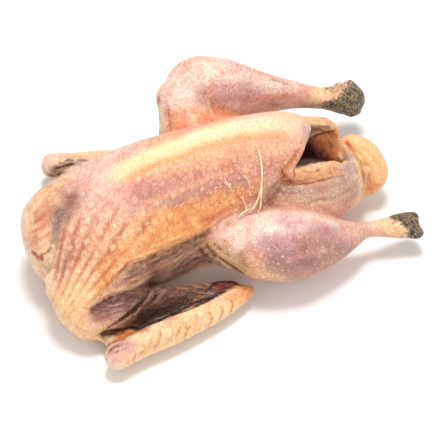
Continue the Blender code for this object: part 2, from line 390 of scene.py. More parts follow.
def build_up(form, run):
    """Lays a lumpy roll along a run of (x, y, z, radius) points."""
    count = 0
    for start, end in zip(run, run[1:]):
        a, b = Vector(start[:3]), Vector(end[:3])
        steps = max(1, round((b - a).length / (0.45 * min(start[3], end[3]))))
        for step in range(steps):
            share = step / steps
            count += 1
            radius = start[3] + share * (end[3] - start[3])
            radius *= 1.0 + 0.10 * math.sin(count * 1.9) + 0.06 * math.sin(count * 4.7)
            add_ball(form, a.lerp(b, share), radius)


def skin_blank():
    """A close-meshed and evenly relaxed copy of the solid bird, with its small fleshy forms built up."""
    form = bmesh.new()
    form.from_mesh(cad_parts["guinea_fowl"].data)
    bmesh.ops.remove_doubles(form, verts=form.verts, dist=1e-6)
    for run in BUILT_UP:
        build_up(form, run)
    for *middle, radius in VENT_FAT_LUMPS:
        add_ball(form, Vector(middle), radius)
    piece = finished_piece("guinea_fowl_skin", form)
    even = piece.modifiers.new("even", "REMESH")
    even.mode = "VOXEL"
    even.voxel_size = SKIN_MESH * MM
    relax = piece.modifiers.new("relax", "SMOOTH")
    relax.factor = 0.5
    relax.iterations = RELAX_ROUNDS
    fix_modifiers(piece)
    return piece


# Slack strands of skin from the breast to the thigh, and single hairs, as (x, y, z, half width) runs in mm.
SKIN_STRANDS = (
    (
        (22, -15, 84.5, 0.25), (22.5, -19, 81, 0.42), (22.5, -24, 75.8, 0.52), (21.3, -29, 69, 0.6),
        (19, -33, 62.8, 0.72), (15, -36.5, 57, 0.85), (11, -38, 53, 0.7),
    ),
    ((20.5, -31.5, 66, 0.4), (19, -35, 60, 0.55), (18, -37, 55, 0.45), (16, -38, 51.5, 0.3)),
    ((8, -33.5, 63, 0.25), (9, -35.5, 59, 0.4), (9.5, -37, 55.5, 0.55), (9, -38, 52, 0.45)),
    ((12, -37, 55.5, 0.35), (7, -38, 54.5, 0.5), (4, -39, 53, 0.25)),
)
HAIRS = (
    ((-1, -27, 75, 0.16), (0.5, -30, 72, 0.2), (3, -33, 66.5, 0.12)),
    ((12, -27.5, 73.5, 0.12), (13, -30.5, 70.5, 0.16), (13, -33, 66.5, 0.1)),
    ((18, -60.5, 48, 0.12), (19, -63, 47.5, 0.14), (21, -65, 45, 0.1)),
    ((-92, -49, 48, 0.12), (-90, -52, 46.5, 0.14), (-86, -53, 44, 0.1)),
)


def skin_strand(form, run):
    """Extrudes a round, tapering strand along a run of (x, y, z, half width) points."""
    path = smooth_run(run, 4)
    ahead = Vector(path[1][:3] - path[0][:3])
    stand = Matrix.Translation(Vector(path[0][:3]) * MM) @ ahead.to_track_quat("Z", "Y").to_matrix().to_4x4()
    root = bmesh.ops.create_circle(form, cap_ends=True, segments=8, radius=path[0][3] * MM, matrix=stand)
    tip = next(face for face in root["verts"][0].link_faces)
    for here, there in zip(path, path[1:]):
        grown = bmesh.ops.extrude_face_region(form, geom=[tip])["geom"]
        tip = next(part for part in grown if isinstance(part, bmesh.types.BMFace))
        corners = list(tip.verts)
        bmesh.ops.translate(form, verts=corners, vec=Vector(there[:3] - here[:3]) * MM)
        middle = Vector(there[:3]) * MM
        size = there[3] / here[3]
        bmesh.ops.scale(form, verts=corners, vec=(size, size, size), space=Matrix.Translation(-middle))


def make_strands(name, runs):
    form = bmesh.new()
    for run in runs:
        skin_strand(form, run)
    bmesh.ops.recalc_face_normals(form, faces=form.faces)
    piece = finished_piece(name, form)
    piece.data.shade_smooth()
    return piece


# Directions across and up the near flank, along which its folds are laid out.
ACROSS_FLANK = np.array((0.961, -0.276, 0.0))
UP_FLANK = np.array((0.202, 0.703, 0.682))
FLANK_MIDDLE = np.array((-6.4, -4.1, 40.0))
FOLD_ROOT = (-99.0, -93.0)  # where the flank's folds would meet, across and up from the middle
FOLD_STEP = 0.095  # angle from fold to fold
FOLD_HEIGHT = 0.85
BEAD_STEP = 5.2  # from bead to bead along a fold, in mm
FLANK_FOLDS = (
    ((-101, -34, 50, 9), (-100, -52, 37, 12)),
    ((-90, -30, 57, 11), (-88, -54, 42, 14)),
    ((-70, -32, 64, 10), (-76, -52, 48, 12)),
    ((-50, -34, 63, 8), (-60, -48, 50, 8)),
)
NEAR_FOREWING = ((-86, -91, 15, 12), (-52, -86, 13, 11), (-22, -77, 12, 10), (6, -65, 11, 7))
NEAR_LEG = ((-16, -44, 38), (4, -49, 33), (34, -52, 31), (62, -50, 28), (84, -48, 25), (118, -46, 18))
FAR_LEG = ((-12, 69, 48), (10, 69, 46), (38, 67, 42), (64, 66, 38), (84, 64, 34), (118, 61, 27))
FOLLICLE_WIDE = 9.2  # between follicles at the neck end of the breast
FOLLICLE_CLOSE = 5.6  # and at its tail end
KEEL_STATIONS = (-112, -90, -66, -41, -10, 21, 45, 60)  # along the bird
KEEL_HEIGHTS = (44, 62, 75, 84, 91, 92, 87, 78)
BREAST_FOLLICLES = ((-80, -26, 62, 26), (-40, -26, 70, 24), (40, -20, 78, 22))
SMOOTH_KEEL = ((-70, -6, 76, 8), (-10, -6, 91, 9), (44, -6, 87, 8))
RUMP_FOLLICLES = ((26, -28, 50, 18), (74, -26, 38, 18))
BRUISED_NECK = ((-84, -4, 66, 7), (-96, -15, 60, 9), (-106, -30, 49, 8))
LEG_REACH = 25.0  # from a leg's axis out past its skin
LEG_ROW_STEP = 5.6  # between follicles on the legs
LEG_RADIUS = 20.0  # the leg's, over which its rows are counted

# Creased and hollowed areas, as strokes of (x, y, z, reach) in mm.
SLACK_NECK = ((-112, -4, 52, 13), (-112, -26, 46, 13))
NECK_DENT = ((-89, -8, 64, 5), (-97, -17, 58, 6), (-105, -29, 49, 5))
NECK_NOTCH = ((-116, -27, 39.5, 4.6), (-112, -33, 38, 3.8))
WING_WEB = ((-52, -59, 26, 6), (-64, -65, 21, 6), (-80, -71, 15, 4))
UPPER_WING = ((-46, -56, 24, 5), (-24, -56, 20, 6), (-4, -55, 17, 6))
WING_POCKET = ((-64, -69, 14, 5), (-50, -66, 17, 8), (-39, -63, 18, 6))
THIN_WINDOW = ((-87, -66, 28, 7), (-71, -66, 30, 7))
LOW_FLANK = ((-68, -56, 38, 7), (-48, -50, 34, 10), (-24, -44, 32, 11), (-10, -41, 32, 9))
NECK_DENT_DEPTH = 1.3
NECK_NOTCH_STEP = (2.2, 0.0, 0.0)
WING_POCKET_STEP = (0.0, 0.3, -3.0)
THIN_WINDOW_DEPTH = 0.9

# Where the hocks are scaly, where specks run on up the shank, and the smooth fatty areas.
NEAR_SCALES = ((101, -42, 28, 3), (111, -44, 26, 8), (118, -46, 20, 14))
FAR_SCALES = ((84, 48, 30, 5), (100, 50, 28, 9), (118, 57, 28, 15))
NEAR_SPECKS = ((99, -46, 22, 4), (107, -47, 18, 8))
FAR_SPECKS = ((95, 61, 40, 4), (102, 62, 41, 7))
SPECK_SHARE = 0.3
CUT_PLANE = 116.2  # where along the bird the shanks' cut ends begin, in mm
CAVITY_LINE = (
    (86, -1, 80, 22), (75.6, 0, 62, 20), (63.6, -1, 46, 19),
    (38.6, -4, 42, 21), (8.6, -4, 42, 22), (-18.4, -4, 42, 15),
)
KEEL_FAT_AREA = ((-80, -8, 68, 6), (-41, -10, 84, 10), (-10, -8, 91, 11), (21, -6, 92, 10), (50, -6, 86, 8))
TAIL_FAT_AREA = ((100, 6, 32, 16), (104, -6, 22, 15))


def across_and_up(places):
    offset = places - FLANK_MIDDLE
    return offset @ ACROSS_FLANK, offset @ UP_FLANK


def fold_flanks(skin):
    """Beaded skin folds that fan down from the breast to the wing's root, on both flanks."""
    across, up = across_and_up(skin.folded())
    turn = np.arctan2(across - FOLD_ROOT[0], up - FOLD_ROOT[1])
    length = np.hypot(across - FOLD_ROOT[0], up - FOLD_ROOT[1])
    wander = lumps(skin.start, 16.0, 11) * 0.8 + lumps(skin.start, 6.0, 12) * 0.5
    phase = turn / FOLD_STEP + wander / (2 * math.pi)
    crest = (0.5 + 0.5 * np.cos(phase * 2 * math.pi)) ** 0.8
    beat = (length / BEAD_STEP + 0.5 * np.round(phase)) * 2 * math.pi + lumps(skin.start, 7.0, 14) * 1.5
    bead = 0.5 + 0.5 * np.cos(beat)
    area = np.zeros(len(turn))
    for stroke in FLANK_FOLDS:
        area = np.maximum(area, skin.mask(stroke, 1.0, 0.25, True))
    area *= 0.8 + 0.3 * lumps(skin.start, 9.0, 13)
    skin.push((crest * (0.5 + 0.5 * bead) - 0.4) * FOLD_HEIGHT * area)
    # The valleys' darker, redder wash is partly painted shade, and the crests' paler wash partly painted
    # highlight.
    skin.wash(FLANK_VALLEY, (1.0 - crest) ** 1.3 * area * 0.75)
    skin.wash(FLANK_RIDGE, crest * (0.3 + 0.7 * bead) * area * 0.8)
    # Painted shade in the valleys and painted highlight on the bead crests.
    skin.ink(slice(None), (1.0 - crest) ** 2 * area * (0.2 + 0.2 * skin.patchy), -1.0)
    skin.ink(slice(None), crest**2 * bead**2 * area * 0.75, 1.0)


def crinkle(skin, area, heading, step, height, wander, seed, ink=0.55):
    """Small wandering folds across an area. The heading says how far across and up the flank they repeat."""
    across, up = across_and_up(skin.folded())
    way = (across * heading[0] + up * heading[1]) / math.hypot(*heading)
    wave = 0.5 + 0.5 * np.cos(way / step * 2 * math.pi + lumps(skin.start, 3.0 * step, seed) * wander)
    area = area * np.clip(0.65 + 0.6 * lumps(skin.start, 2.2 * step, seed + 1), 0.0, 1.0)
    skin.push((wave**0.7 - 0.55) * height * area)
    # Painted shade in the valleys and painted highlight on the crests.
    skin.ink(slice(None), (1.0 - wave) ** 2 * area * ink, -1.0)
    skin.ink(slice(None), wave**3 * area * ink, 1.0)
    return wave, area


def crease_neck(skin):
    """The slack neck skin, creased from the breast down to its red-edged fold, with painted highlight on the
    creases' crests.
    """
    area = skin.mask(SLACK_NECK, 0.7, 0.3, True) * 0.7
    wave, area = crinkle(skin, area, (0.45, -0.89), step=4.6, height=0.45, wander=1.6, seed=29, ink=0.35)
    skin.wash(NECK_RED, bell((0.4 - wave) / 0.4) * area * 0.45)
    # Painted highlight on the neck creases' crests.
    skin.wash(CREAM_PAINTED_LIGHT, wave**2 * area * 0.4)
    skin.push(-NECK_DENT_DEPTH * skin.mask(NECK_DENT, 1.2, 0.3))
    skin.shift(NECK_NOTCH_STEP, skin.mask(NECK_NOTCH, 1.3))


def crease_wing(skin):
    """Cross ridges on the folded forewing, the wrinkled web and pocket above it, and the thin window, with
    painted shade in the crinkles' valleys and painted highlight on the web's crests.
    """
    area = skin.mask(NEAR_FOREWING, 0.35, 0.2)
    wave, area = crinkle(skin, area, (1.0, -0.35), step=3.9, height=0.45, wander=3.0, seed=31, ink=0.28)
    skin.wash(WING_SHADE, (1.0 - wave) ** 2 * area * 0.28)
    web = skin.mask(WING_WEB, 0.8, 0.3)
    wave, area = crinkle(skin, web, (0.64, -0.77), step=2.9, height=0.7, wander=1.6, seed=33)
    # Painted shade in the web's crinkle valleys and painted highlight on their crests.
    skin.wash(WING_CREASE_SHADE, (1.0 - wave) ** 2 * area * 0.7)
    skin.wash(WING_OLIVE_HIGHLIGHT, wave**3 * area * 0.6)
    limb = skin.mask(UPPER_WING, 0.8, 0.3)
    wave, area = crinkle(skin, limb, (0.25, 1.0), step=3.0, height=0.5, wander=3.0, seed=35)
    # Painted shade in the upper wing's crinkle valleys.
    skin.wash(WING_CREASE_SHADE, (1.0 - wave) ** 2 * area * 0.5)
    skin.shift(WING_POCKET_STEP, skin.mask(WING_POCKET, 0.9, 0.1))
    skin.push(-THIN_WINDOW_DEPTH * skin.mask(THIN_WINDOW, 1.3, 0.3))


def crease_low_flank(skin):
    """The dark, loose skin between breast and thigh on both flanks, with painted shade in its crinkles'
    valleys and painted light on their crests.
    """
    low = skin.mask(LOW_FLANK, 0.7, 0.3, True)
    wave, area = crinkle(skin, low, (0.43, -0.9), step=3.4, height=0.65, wander=2.4, seed=37)
    # Painted shade in the crinkle valleys and painted light on their crests.
    skin.wash(WING_CREASE_SHADE, (1.0 - wave) ** 2 * area * 0.25)
    skin.wash(LOW_FLANK_PAINTED_LIGHT, wave**3 * area * 0.45)


def limb_rows(places, axis, spacing, radius):
    """Follicle rows along a limb and round it, counted in follicles."""
    knots = np.array(axis, float)
    best = np.full(len(places), 1e9)
    along = np.zeros(len(places))
    turn = np.zeros(len(places))
    travelled = 0.0
    for start, end in zip(knots, knots[1:]):
        run = end - start
        length = np.linalg.norm(run)
        share = np.clip((places - start) @ run / length**2, 0.0, 1.0)
        offset = places - start - share[:, None] * run
        gap = np.linalg.norm(offset, axis=1)
        nearer = gap < best
        best = np.where(nearer, gap, best)
        along = np.where(nearer, travelled + share * length, along)
        turn = np.where(nearer, np.arctan2(offset[:, 1], -offset[:, 2]), turn)
        travelled += length
    return along / spacing, turn * radius / spacing


def plan_follicles(skin, inside):
    """Lays the follicle rows over trunk and legs, and says how strongly they show."""
    x, y, z = skin.start.T
    stations = np.linspace(-130.0, 130.0, 261)
    spacing = FOLLICLE_WIDE + (FOLLICLE_CLOSE - FOLLICLE_WIDE) * bell((stations + 50.0) / 60.0)
    count = np.cumsum(1.0 / spacing)
    here = np.interp(x, stations, spacing)
    ridge = np.interp(x, KEEL_STATIONS, KEEL_HEIGHTS)
    arc = np.hypot(KEEL_Y - y, ridge - z)
    skin.rows[:, 0] = np.interp(x, stations, count)
    skin.rows[:, 1] = arc / here
    breast = skin.mask(BREAST_FOLLICLES, 0.4, 0.2, True)
    keel = skin.mask(SMOOTH_KEEL, 0.8, 0.2)
    rump = skin.mask(RUMP_FOLLICLES, 0.4, 0.2, True)
    strength = np.maximum(breast * (1.0 - keel) * (1.0 - 0.35 * bell((x + 10.0) / 60.0)), 0.5 * rump)
    for axis in (NEAR_LEG, FAR_LEG):
        along, turn = limb_rows(skin.start, axis, LEG_ROW_STEP, LEG_RADIUS)
        leg = skin.mask([(*knot, LEG_REACH) for knot in axis], 0.1)
        skin.rows[:, 0] = np.where(leg > 0.5, along, skin.rows[:, 0])
        skin.rows[:, 1] = np.where(leg > 0.5, turn, skin.rows[:, 1])
        thigh = skin.mask([(*knot, LEG_REACH) for knot in axis[:4]], 0.2)
        edge = np.abs(leg - 0.5) < 0.49
        strength = np.where(leg > 0.5, 0.95 * thigh * (0.55 + 0.5 * lumps(skin.start, 12.0, 42)), strength)
        strength[edge] = 0.0
    bruise = skin.mask(BRUISED_NECK, 1.0)
    strength *= (1.0 - inside) * (1.0 - 0.75 * bruise) * (0.8 + 0.35 * lumps(skin.start, 16.0, 41))
    skin.rows[:, 2] = np.clip(strength, 0.0, 1.0)


def mark_hocks(skin):
    """Where the shanks are scaly, and their cut ends."""
    scaly = np.zeros(len(skin.start))
    for scales, specks in ((NEAR_SCALES, NEAR_SPECKS), (FAR_SCALES, FAR_SPECKS)):
        scaly = np.maximum(scaly, skin.mask(scales, 0.9, 0.35))
        scaly = np.maximum(scaly, SPECK_SHARE * skin.mask(specks, 1.2, 0.3))
    end = bell((skin.places[:, 0] - CUT_PLANE) / 1.2) * bell((skin.facing()[:, 0] - 0.55) / 0.3)
    skin.scales_and_painted_light[:, 0] = scaly * (1.0 - end)
    skin.wash(CUT_TENDON, end)
    for x, y, z, reach in HOCK_BONES:
        bone = reach_to(skin.start, ((x, y, z, reach),))
        skin.wash(CUT_BONE, end * bell((1.25 - bone) / 0.35))
        skin.wash(CUT_MARROW, end * bell((0.8 - bone) / 0.35))


# Skin colours, by where they are on the bird, painted shade and painted light among them.
# painted highlight on crests, and painted light in the neck's shaded notch
CREAM_PAINTED_LIGHT = tint(255, 226, 188)
CUT_TENDON = tint(196, 128, 108)
CUT_BONE = tint(236, 214, 188)
CUT_MARROW = tint(142, 62, 50)
STRAND_CREAM = tint(255, 230, 192)
FOLD_RED = tint(204, 88, 58)
KEEL_EDGE = tint(242, 174, 118)
RIM_ORANGE = tint(238, 150, 100)
# painted light on the low flank's crests and in its shaded crevice
LOW_FLANK_PAINTED_LIGHT = tint(206, 170, 130)
FLANK_BROWN = tint(206, 146, 104)
# painted highlight on the thin window's fine ridges
WINDOW_HIGHLIGHT = tint(206, 166, 150)
# painted shade in the crinkles, grooves and hollow of the wing and low flank
WING_CREASE_SHADE = tint(66, 42, 32)
# painted highlight on the wing web's crinkle crests
WING_OLIVE_HIGHLIGHT = tint(158, 128, 96)
STUMP_RED = tint(138, 62, 56)
WRIST_WHITE = tint(250, 226, 216)
# painted shade in the knee's creases
KNEE_CREASE_SHADE = tint(128, 92, 66)
# pale knee skin, drawn also as painted highlight on the knee's ridges
KNEE_LIGHT = tint(226, 184, 138)
LEG_LILAC = tint(204, 156, 172)
LEG_SHADE = tint(158, 118, 114)
FLAP_SHADOW = tint(150, 86, 64)
# painted light on the cavity's orange wall, which lies in shade
CAVITY_PAINTED_LIGHT = tint(255, 188, 128)
ROLL_SHADE = tint(206, 126, 76)
# painted highlight on the vent's rolled edges and the flap's lip
ROLL_HIGHLIGHT = tint(255, 212, 160)
# painted shade in the rump's grooves and the crevice under the flank
RUMP_SHADE = tint(142, 106, 100)
# painted highlight on the rump's ridges and painted light along its lower edge
RUMP_HIGHLIGHT = tint(232, 200, 170)
RUMP_BLUE = tint(184, 158, 148)
BREAST_ORANGE = tint(247, 190, 150)
KEEL_CREAM = tint(254, 224, 182)
LOW_BROWN = tint(152, 114, 90)
RIM_PINK = tint(244, 176, 146)
LEG_STRIP = tint(254, 220, 182)
WING_SHADOW = tint(112, 70, 62)
WING_OLIVE = tint(140, 112, 78)
WING_ORANGE = tint(234, 150, 84)
FAR_WRIST = tint(252, 222, 198)
# painted shade deep inside the body cavity
CAVITY_DEEP_SHADE = tint(52, 22, 17)
VENT_YELLOW = tint(246, 204, 84)
# partly painted highlight on the flank folds' bead crests
FLANK_RIDGE = tint(255, 214, 162)
WING_SHADE = tint(224, 160, 116)
# painted shade in the forewing's fine curved wrinkles
WING_WRINKLE_SHADE = tint(230, 156, 96)
KEEL_FAT = tint(253, 233, 180)
BREAST_PALE = tint(253, 216, 196)
BREAST_PINK = tint(245, 190, 172)
BREAST_MAUVE = tint(222, 160, 145)
BREAST_GREY = tint(205, 158, 142)
FLANK_ORANGE = tint(248, 178, 108)
FLANK_CREAM = tint(252, 200, 150)
# partly painted shade in the flank folds' valleys
FLANK_VALLEY = tint(208, 134, 100)
BRUISE_BROWN = tint(160, 108, 98)
BRUISE_GREEN = tint(150, 136, 120)
NECK_CREAM = tint(253, 212, 172)
NECK_RED = tint(226, 120, 84)
LOW_PURPLE = tint(184, 138, 116)
LOW_OLIVE = tint(152, 112, 80)
WING_YELLOW = tint(254, 214, 150)
WING_CREAM = tint(254, 220, 170)
WING_TIP = tint(252, 168, 108)
WING_PINK = tint(236, 178, 172)
WING_DARK = tint(132, 92, 76)
# painted shade in the deep hollow between flank and wing
WING_HOLLOW_SHADE = tint(88, 54, 44)
WING_WINDOW = tint(154, 104, 92)
WING_STUMP = tint(124, 62, 54)
LEG_PALE = tint(254, 230, 214)
LEG_PINK = tint(238, 190, 176)
LEG_MAUVE = tint(212, 160, 158)
LEG_BROWN = tint(176, 130, 112)
KNEE_OLIVE = tint(190, 142, 92)
LEG_RED = tint(226, 146, 124)
LEG_ORANGE = tint(244, 156, 108)
HOCK_CREAM = tint(249, 214, 168)
RUMP_GREY = tint(208, 172, 146)
RUMP_RED = tint(234, 166, 130)
VENT_ORANGE = tint(246, 182, 122)
VENT_FAT = tint(246, 200, 132)
VENT_LILAC = tint(200, 170, 176)
# painted shade over the body cavity's walls
CAVITY_SHADE = tint(92, 40, 30)
CAVITY_RED = tint(255, 158, 104)
TAIL_CREAM = tint(253, 204, 142)
TAIL_ORANGE = tint(246, 164, 94)

# Tints that the finishes lay over the painted ground, painted shade in pits, furrows and grooves among them,
# and those of the hocks' scales and the floor.
CLOUD_TINT = tint(236, 196, 198)
BLUSH_TINT = tint(248, 214, 190)
MOTTLE_TINT = tint(224, 186, 170)
# painted shade in the follicle pits
PIT_SHADE = tint(226, 178, 156)
FOLLICLE_CREAM = tint(255, 228, 190)
FINE_TINT = tint(216, 176, 152)
WRINKLE_TINT = tint(220, 176, 150)
# painted shade in the furrows of the dark, loose skin
FURROW_SHADE = tint(158, 128, 112)
# painted shade in the fine grooves
GROOVE_SHADE = tint(206, 158, 132)
SCALE_BLACK = tint(42, 35, 31)
SCALE_GREY = tint(96, 80, 66)
SPECK_BROWN = tint(134, 106, 78)
SCALE_EDGE = tint(222, 192, 152)
STRAND_TAN = tint(246, 200, 152)
FLOOR_GREY = tint(248, 248, 247)
FLOOR_WHITE = tint(252, 252, 251)

# Base colours, as (colour, strength, softness, raggedness, and the stroke's (x, y, z, reach) points in mm).
# The trunk's are laid on both halves.
TRUNK_COLOURS = (
    (BREAST_ORANGE, 0.9, 1.0, 0.3, (-40, -24, 74, 26), (0, -20, 78, 24), (36, -14, 80, 20)),
    (BREAST_PINK, 0.9, 1.0, 0.4, (-80, -24, 66, 18), (-56, -26, 70, 16)),
    (BREAST_PALE, 0.8, 1.1, 0.4, (-62, -14, 76, 12), (-74, -20, 68, 14)),
    (BREAST_MAUVE, 0.85, 1.1, 0.6, (-50, -18, 78, 8), (-38, -26, 73, 11), (-10, -28, 70, 9),
        (8, -28, 68, 8)),
    (BREAST_GREY, 0.75, 1.1, 0.6, (-40, -30, 68, 6), (-22, -31, 66, 7), (0, -30, 66, 6), (20, -28, 66, 6)),
    (BREAST_MAUVE, 0.7, 1.1, 0.5, (22, -25, 70, 8), (32, -24, 68, 7)),
    (BREAST_PALE, 0.6, 0.9, 0.3, (30, -10, 85, 9), (46, -10, 81, 11)),
    (FLANK_CREAM, 0.8, 1.0, 0.4, (-96, -44, 44, 22), (-74, -46, 52, 16), (-44, -36, 60, 8)),
    (FLANK_ORANGE, 0.95, 1.0, 0.5, (-78, -54, 44, 6), (-60, -46, 53, 9), (-45, -41, 55, 11),
        (-19, -37, 56, 10), (6, -34, 58, 9), (14, -34, 56, 7)),
    (LOW_OLIVE, 0.95, 0.7, 0.6, (-66, -55, 44, 4), (-54, -50, 43, 6), (-40, -47, 43, 6), (-20, -42, 42, 6),
        (-14, -42, 44, 4)),
    (LOW_PURPLE, 0.9, 0.8, 0.5, (-76, -58, 38, 6), (-64, -56, 34, 8), (-46, -49, 32, 8), (-32, -45, 28, 8)),
    (LOW_BROWN, 0.9, 0.9, 0.4, (-54, -47, 18, 8), (-34, -44, 20, 9), (-18, -42, 26, 9), (-8, -40, 20, 9)),
    (RUMP_GREY, 0.95, 0.5, 0.3, (20, -32, 48, 16), (50, -32, 44, 18), (72, -28, 38, 16)),
    (RUMP_RED, 0.85, 0.9, 0.4, (60, -36, 32, 8), (76, -32, 28, 9)),
)
KEEL_AND_NECK_COLOURS = (
    (KEEL_CREAM, 0.7, 1.3, 0.3, (-66, -10, 76, 7), (-41, -11, 84, 8), (-10, -9, 90, 8), (21, -7, 91, 7),
        (44, -6, 87, 6)),
    (KEEL_FAT, 0.95, 1.5, 0.3, (-62, -10, 78, 3), (-41, -10, 85, 4), (-12, -7, 91, 4.5), (12, -5, 92, 3.5),
        (40, -6, 89, 2)),
    (BRUISE_BROWN, 0.4, 1.8, 0.4, (-84, -4, 66, 3), (-90, -9, 64, 5), (-96, -15, 60, 6),
        (-100, -20, 57, 4)),
    (BRUISE_GREEN, 0.35, 1.8, 0.4, (-101, -21, 57, 4), (-106, -30, 49, 3.5), (-104, -38, 43, 2.5)),
    (NECK_RED, 0.9, 1.1, 0.4, (-112, -25, 42, 2.2), (-111, -30, 40, 2)),
    (RIM_PINK, 0.8, 1.1, 0.3, (57, -4, 81, 3), (51, -14, 72, 3), (45, -18, 66, 3.5), (38, -23, 63, 3.5)),
)
NEAR_LEG_SKIN = (
    (-12, -48, 40, 9), (4, -51, 33, 23), (34, -53, 31, 25),
    (62, -50, 28, 21), (84, -48, 25, 15), (118, -46, 18, 18),
)
FAR_LEG_SKIN = (
    (-12, 69, 48, 22), (10, 69, 46, 26), (38, 67, 42, 25),
    (64, 66, 38, 18), (84, 64, 34, 15), (118, 61, 27, 18),
)
LEG_COLOURS = (
    (LEG_PINK, 1.0, 0.12, 0.0, *NEAR_LEG_SKIN),
    (LEG_PALE, 0.95, 1.2, 0.4, (4, -46, 53, 12), (38, -50, 53, 11), (60, -51, 45, 7)),
    (LEG_MAUVE, 0.75, 1.2, 0.9, (12, -60, 46, 7), (30, -64, 44, 8), (50, -62, 42, 8)),
    # The near drumstick's lower side: partly its own browner skin, partly painted shade.
    (LEG_BROWN, 0.8, 1.0, 0.6, (8, -68, 28, 10), (30, -72, 28, 12), (50, -68, 26, 12), (66, -62, 24, 8)),
    (KNEE_OLIVE, 0.95, 0.9, 0.5, (-17, -45, 43, 5), (-13, -50, 38, 8), (-4, -58, 32, 10), (6, -64, 26, 9)),
    (LOW_OLIVE, 0.7, 1.0, 0.6, (-18, -44, 36, 5), (-10, -52, 28, 6), (2, -58, 20, 6)),
    (HOCK_CREAM, 0.9, 0.8, 0.3, (92, -48, 26, 9), (104, -46, 24, 10)),
    (LEG_PINK, 1.0, 0.12, 0.0, *FAR_LEG_SKIN),
    (LEG_PALE, 0.95, 1.2, 0.4, (-8, 66, 64, 12), (20, 66, 62, 10), (44, 62, 56, 8), (70, 62, 46, 6)),
    (LEG_MAUVE, 0.75, 1.2, 0.9, (10, 56, 62, 6), (28, 54, 58, 8), (48, 55, 52, 7)),
    (LEG_RED, 0.8, 1.3, 0.7, (40, 52, 46, 3), (54, 57, 46, 3), (68, 59, 43, 2.5)),
    (LEG_ORANGE, 0.6, 1.0, 0.4, (-8, 45, 55, 9), (6, 44, 55, 8), (22, 46, 52, 5)),
    (LEG_STRIP, 0.9, 0.6, 0.2, (-17, 58, 52, 5), (-16, 52, 48, 5)),
    (HOCK_CREAM, 0.9, 0.8, 0.3, (88, 60, 40, 8), (102, 58, 38, 8)),
)
FOREWING_SKIN = tuple((x, y, z - 1, reach + 0.5) for x, y, z, reach in NEAR_FOREWING)
WING_COLOURS = (
    (WING_YELLOW, 0.6, 1.0, 0.4, (-104, -58, 30, 14), (-92, -68, 22, 13)),
    (WING_DARK, 1.0, 0.5, 0.5, (-60, -64, 18, 8), (-46, -58, 22, 8), (-28, -60, 19, 9), (-6, -57, 16, 8)),
    (LOW_BROWN, 0.9, 0.8, 0.5, (-50, -56, 25, 3), (-28, -55, 21, 3), (-8, -53, 18, 3)),
    (LOW_BROWN, 0.9, 0.9, 0.4, (-54, -60, 26, 6), (-64, -65, 21, 5), (-78, -71, 15, 4)),
    # Painted shade in the hollow between flank and wing.
    (WING_HOLLOW_SHADE, 0.95, 0.8, 0.3, (-66, -69, 13, 5), (-50, -66, 15, 7), (-37, -64, 16, 5)),
    (WING_WINDOW, 0.9, 1.3, 0.6, (-89, -67, 26, 5), (-74, -67, 28, 6.5), (-62, -64, 27, 5)),
    (WING_SHADOW, 0.6, 1.6, 0.6, (-90, -63, 29, 2.5), (-80, -63, 32, 2.5), (-66, -62, 30, 2.5)),
    (WING_OLIVE, 0.8, 1.0, 0.6, (-88, -72, 14, 2.5), (-79, -70, 16, 3), (-66, -67, 19, 3),
        (-58, -61, 22, 3)),
    (WING_STUMP, 0.9, 0.8, 0.3, (-14, -57, 19, 4), (-4, -56, 17, 5)),
    (WING_CREAM, 1.0, 0.14, 0.16, *FOREWING_SKIN),
    (WING_ORANGE, 0.9, 0.9, 0.4, (-76, -74, 12, 5), (-62, -77, 12, 3)),
    (WING_TIP, 0.95, 1.0, 0.3, (-8, -66, 14, 4), (8, -62, 12, 7)),
    (WING_PINK, 0.85, 0.9, 0.5, (-92, -94, 16, 8), (-80, -88, 20, 5)),
    (WING_STUMP, 0.5, 1.2, 0.8, (-88, -90, 21, 2.5), (-80, -90, 21, 2)),
    (FAR_WRIST, 0.95, 0.5, 0.2, (-92, 66, 18, 10), (-74, 68, 20, 9), (-50, 66, 18, 10)),
    (WING_YELLOW, 0.8, 0.9, 0.3, (-80, 68, 23, 4), (-56, 67, 22, 6)),
    (WING_DARK, 0.9, 0.7, 0.5, (-86, 58, 18, 4), (-76, 60, 19, 4.5), (-64, 60, 18, 2.5)),
)

# Colours on the cavity's walls, as (colour, softness, raggedness, and the stroke's points).
CAVITY_COLOURS = (
    (CAVITY_RED, 1.0, 0.3, (76, 10, 48, 9), (83, 5, 42, 6)),
    # painted shade deep inside the cavity
    (CAVITY_DEEP_SHADE, 0.5, 0.2, (58, 2, 40, 14), (20, -4, 42, 26)),
    (VENT_LILAC, 1.0, 0.3, (58, 10, 32, 3), (66, 8, 32, 3)),
)
VENT_COLOURS = (
    (VENT_ORANGE, 1.0, 0.45, 0.3, (38, -23, 61, 6), (48, -20, 57, 6.5), (60, -17, 54, 6.5),
        (71, -15, 51, 6), (78, -14, 47, 4)),
    (VENT_FAT, 0.95, 0.7, 0.3, (66, 14, 65, 5), (74, 15, 62, 5), (82, 14, 55, 4)),
    (VENT_LILAC, 0.8, 0.9, 0.3, (60, 9, 66, 4), (64, 13, 60, 3)),
    (VENT_YELLOW, 0.9, 0.8, 0.2, (82, 2, 40, 3.2)),
    (VENT_LILAC, 0.85, 0.9, 0.3, (85, -3, 43, 3.5), (80, -14, 48, 3.5)),
    (VENT_FAT, 0.8, 0.9, 0.4, (86, -9, 42, 4), (93, -4, 37, 4), (92, -12, 34, 4)),
    (TAIL_CREAM, 1.0, 0.4, 0.2, (96, 16, 33, 9), (102, 4, 30, 13), (104, -5, 22, 13)),
    (TAIL_ORANGE, 0.85, 1.0, 0.3, (94, -15, 26, 6), (100, -14, 18, 9)),
    (NECK_RED, 0.9, 0.9, 0.3, (90, 13, 37, 2.2)),
)

